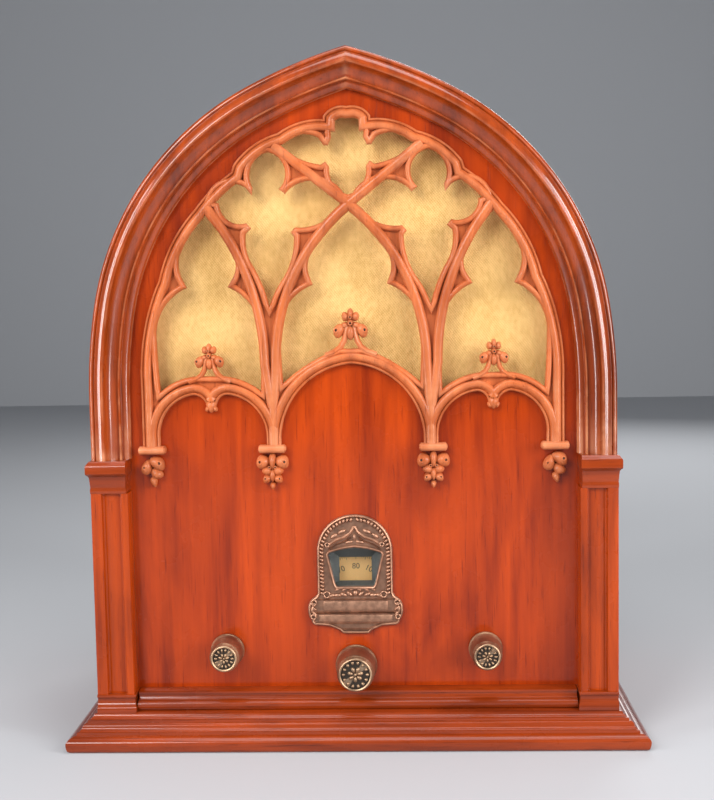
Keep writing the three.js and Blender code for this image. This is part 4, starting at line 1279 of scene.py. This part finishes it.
# %%
def valve(name):
    """A valve: a moulded base, a shouldered glass bulb, and plates on two support rods."""
    low, high = spans(name)
    at = middle(name)
    bulb = (high.x - low.x) / 2
    z0 = low.z
    z1 = high.z
    bm = bmesh.new()
    turned(bm, [(0, z0), (15.5, z0), (15.5, z0 + 3), (14.6, z0 + 4), (14.6, z0 + 23), (14.0, z0 + 25.6),
                (12.2, z0 + 26), (0, z0 + 26)], "Z", at, 48)
    finish_piece(bm, f"{name}_base", bakelite, "cabinet", [name])
    bm = bmesh.new()
    turned(bm, [
        (0, z0 + 26.2), (12, z0 + 26.2), (12.4, z0 + 30), (bulb * 0.80, z0 + 38), (bulb * 0.97, z0 + 46),
        (bulb, z0 + 52), (bulb * 0.98, z1 - 36), (bulb * 0.86, z1 - 28), (bulb * 0.64, z1 - 19),
        (bulb * 0.55, z1 - 12), (bulb * 0.52, z1 - 6), (bulb * 0.40, z1 - 1.6), (0, z1 - 0.2),
    ], "Z", at, 56)
    finish_piece(bm, f"{name}_bulb", glass, "cabinet", [], sharp=60)
    bm = bmesh.new()
    wide = bulb * 0.52 * MM
    block(bm, (at.x - wide, at.y - 0.5 * wide, (z0 + 44) * MM),
          (at.x + wide, at.y + 0.5 * wide, (z1 - 36) * MM), 1.2)
    rod = 0.6 * MM
    for side in (-1, 1):
        rod_x = at.x + side * 0.7 * wide
        block(bm, (rod_x - rod, at.y - rod, (z0 + 27) * MM), (rod_x + rod, at.y + rod, (z1 - 22) * MM), 0)
    finish_piece(bm, f"{name}_plates", laminations, "cabinet", [])


for name in ("rectifier_tube", "output_tube", "detector_tube"):
    valve(name)

low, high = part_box("power_transformer")
WINDING_RISE = 8 * MM
COVER_INSET = 6 * MM
bm = bmesh.new()
block(bm, (low.x, low.y, low.z + WINDING_RISE), (high.x, high.y, high.z - WINDING_RISE), 1.0)
block(bm, (low.x + COVER_INSET, low.y + COVER_INSET, low.z),
      (high.x - COVER_INSET, high.y - COVER_INSET, high.z), 4.0)
at = middle("power_transformer")
top = (high.z - WINDING_RISE) / MM
for x_off in (-20.5, 20.5):
    for y_off in (-24.5, 24.5):
        bolt = Vector((at.x + x_off * MM, at.y + y_off * MM, 0))
        turned(bm, [(0, top - 1), (2.6, top - 1), (2.6, top + 2.2), (0, top + 2.4)], "Z", bolt, 6)
finish_piece(bm, "power_transformer_piece", black_iron, "cabinet", ["power_transformer"])

bm = bmesh.new()
block(bm, *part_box("output_transformer"), 0.6)
finish_piece(bm, "output_transformer_piece", laminations, "cabinet", ["output_transformer"])

low, high = spans("field_coil_pot")
bm = bmesh.new()
turned(bm, [(0, low.y), (11.8, low.y), (11.8, low.y + 16), (15.4, low.y + 16), (15.4, low.y), (38, low.y),
            (39, low.y + 1), (39, high.y - 4), (38.2, high.y - 1.6), (36, high.y - 0.2), (9, high.y),
            (8.4, high.y - 1.2), (0, high.y - 1.2)], "Y", middle("field_coil_pot"), 72)
finish_piece(bm, "field_coil_pot_piece", black_iron, "cabinet", ["field_coil_pot"])

# %% [markdown]
# ## Stage
#
# A plain pale floor and backdrop, soft lights on both sides, above and behind, and a camera
# before the cabinet, a little to its right, looking slightly down.

# %%
pale = base_material("pale floor", Base_Color=(0.44, 0.45, 0.47, 1), Roughness=0.9)[0]
floor_mesh = bpy.data.meshes.new("floor")
floor_bm = bmesh.new()
reach = 4.0
wall = 2.4
corners = [(-reach, -reach, 0), (reach, -reach, 0), (reach, wall, 0), (reach, wall, 4), (-reach, wall, 4),
           (-reach, wall, 0)]
verts = [floor_bm.verts.new(c) for c in corners]
floor_bm.faces.new((verts[0], verts[1], verts[2], verts[5]))
floor_bm.faces.new((verts[5], verts[2], verts[3], verts[4]))
floor_bm.to_mesh(floor_mesh)
floor_bm.free()
floor_mesh.materials.append(pale)
floor = bpy.data.objects.new("floor", floor_mesh)
bpy.context.collection.objects.link(floor)


def soft_light(name, at, target, size, power):
    """A rectangular light turned to a point."""
    lamp_data = bpy.data.lights.new(name, "AREA")
    lamp_data.shape = "RECTANGLE"
    lamp_data.size = size[0]
    lamp_data.size_y = size[1]
    lamp_data.energy = power
    light = bpy.data.objects.new(name, lamp_data)
    bpy.context.collection.objects.link(light)
    way = Vector(target) - Vector(at)
    light.matrix_world = Matrix.Translation(at) @ way.to_track_quat("-Z", "Y").to_matrix().to_4x4()


soft_light("key", (-0.75, -1.35, 1.05), (0, 0, 0.22), (0.7, 0.7), 22)
soft_light("fill", (1.0, -1.2, 0.65), (0, 0, 0.2), (0.9, 0.9), 13)
soft_light("top", (0.1, -0.25, 1.5), (0, -0.02, 0.2), (1.1, 0.7), 9)
soft_light("back", (0.5, 1.5, 0.9), (0, 0, 0.2), (0.8, 0.8), 10)
soft_light("left strip", (-1.0, -0.55, 0.45), (0, -0.05, 0.25), (0.16, 0.9), 7)
soft_light("right strip", (1.0, -0.6, 0.5), (0, -0.05, 0.25), (0.2, 0.9), 9)
world = bpy.data.worlds.new("room")
world.use_nodes = True
background = world.node_tree.nodes["Background"]
background.inputs["Color"].default_value = (0.85, 0.9, 1.0, 1)
background.inputs["Strength"].default_value = 0.14
bpy.context.scene.world = world

yaw = math.radians(2.14)
pitch = math.radians(-5.02)
roll = math.radians(-1.03)
forward = Vector((-math.sin(yaw) * math.cos(pitch), math.cos(yaw) * math.cos(pitch), math.sin(pitch)))
right = Vector((math.cos(yaw), math.sin(yaw), 0))
up = right.cross(forward)
level_right = right * math.cos(roll) + up * math.sin(roll)
level_up = up * math.cos(roll) - right * math.sin(roll)
turn = Matrix((level_right, level_up, -forward)).transposed().to_4x4()
camera_data = bpy.data.cameras.new("camera")
camera_data.sensor_width = 36
camera_data.sensor_fit = "AUTO"
camera_data.lens = 57.6
camera = bpy.data.objects.new("camera", camera_data)
bpy.context.collection.objects.link(camera)
camera.matrix_world = Matrix.Translation((0.034, -0.908, 0.294)) @ turn
scene = bpy.context.scene
scene.camera = camera
scene.render.resolution_x = 714
scene.render.resolution_y = 800
scene.view_settings.view_transform = "Standard"
print("camera at", [round(v, 3) for v in camera.matrix_world.translation])
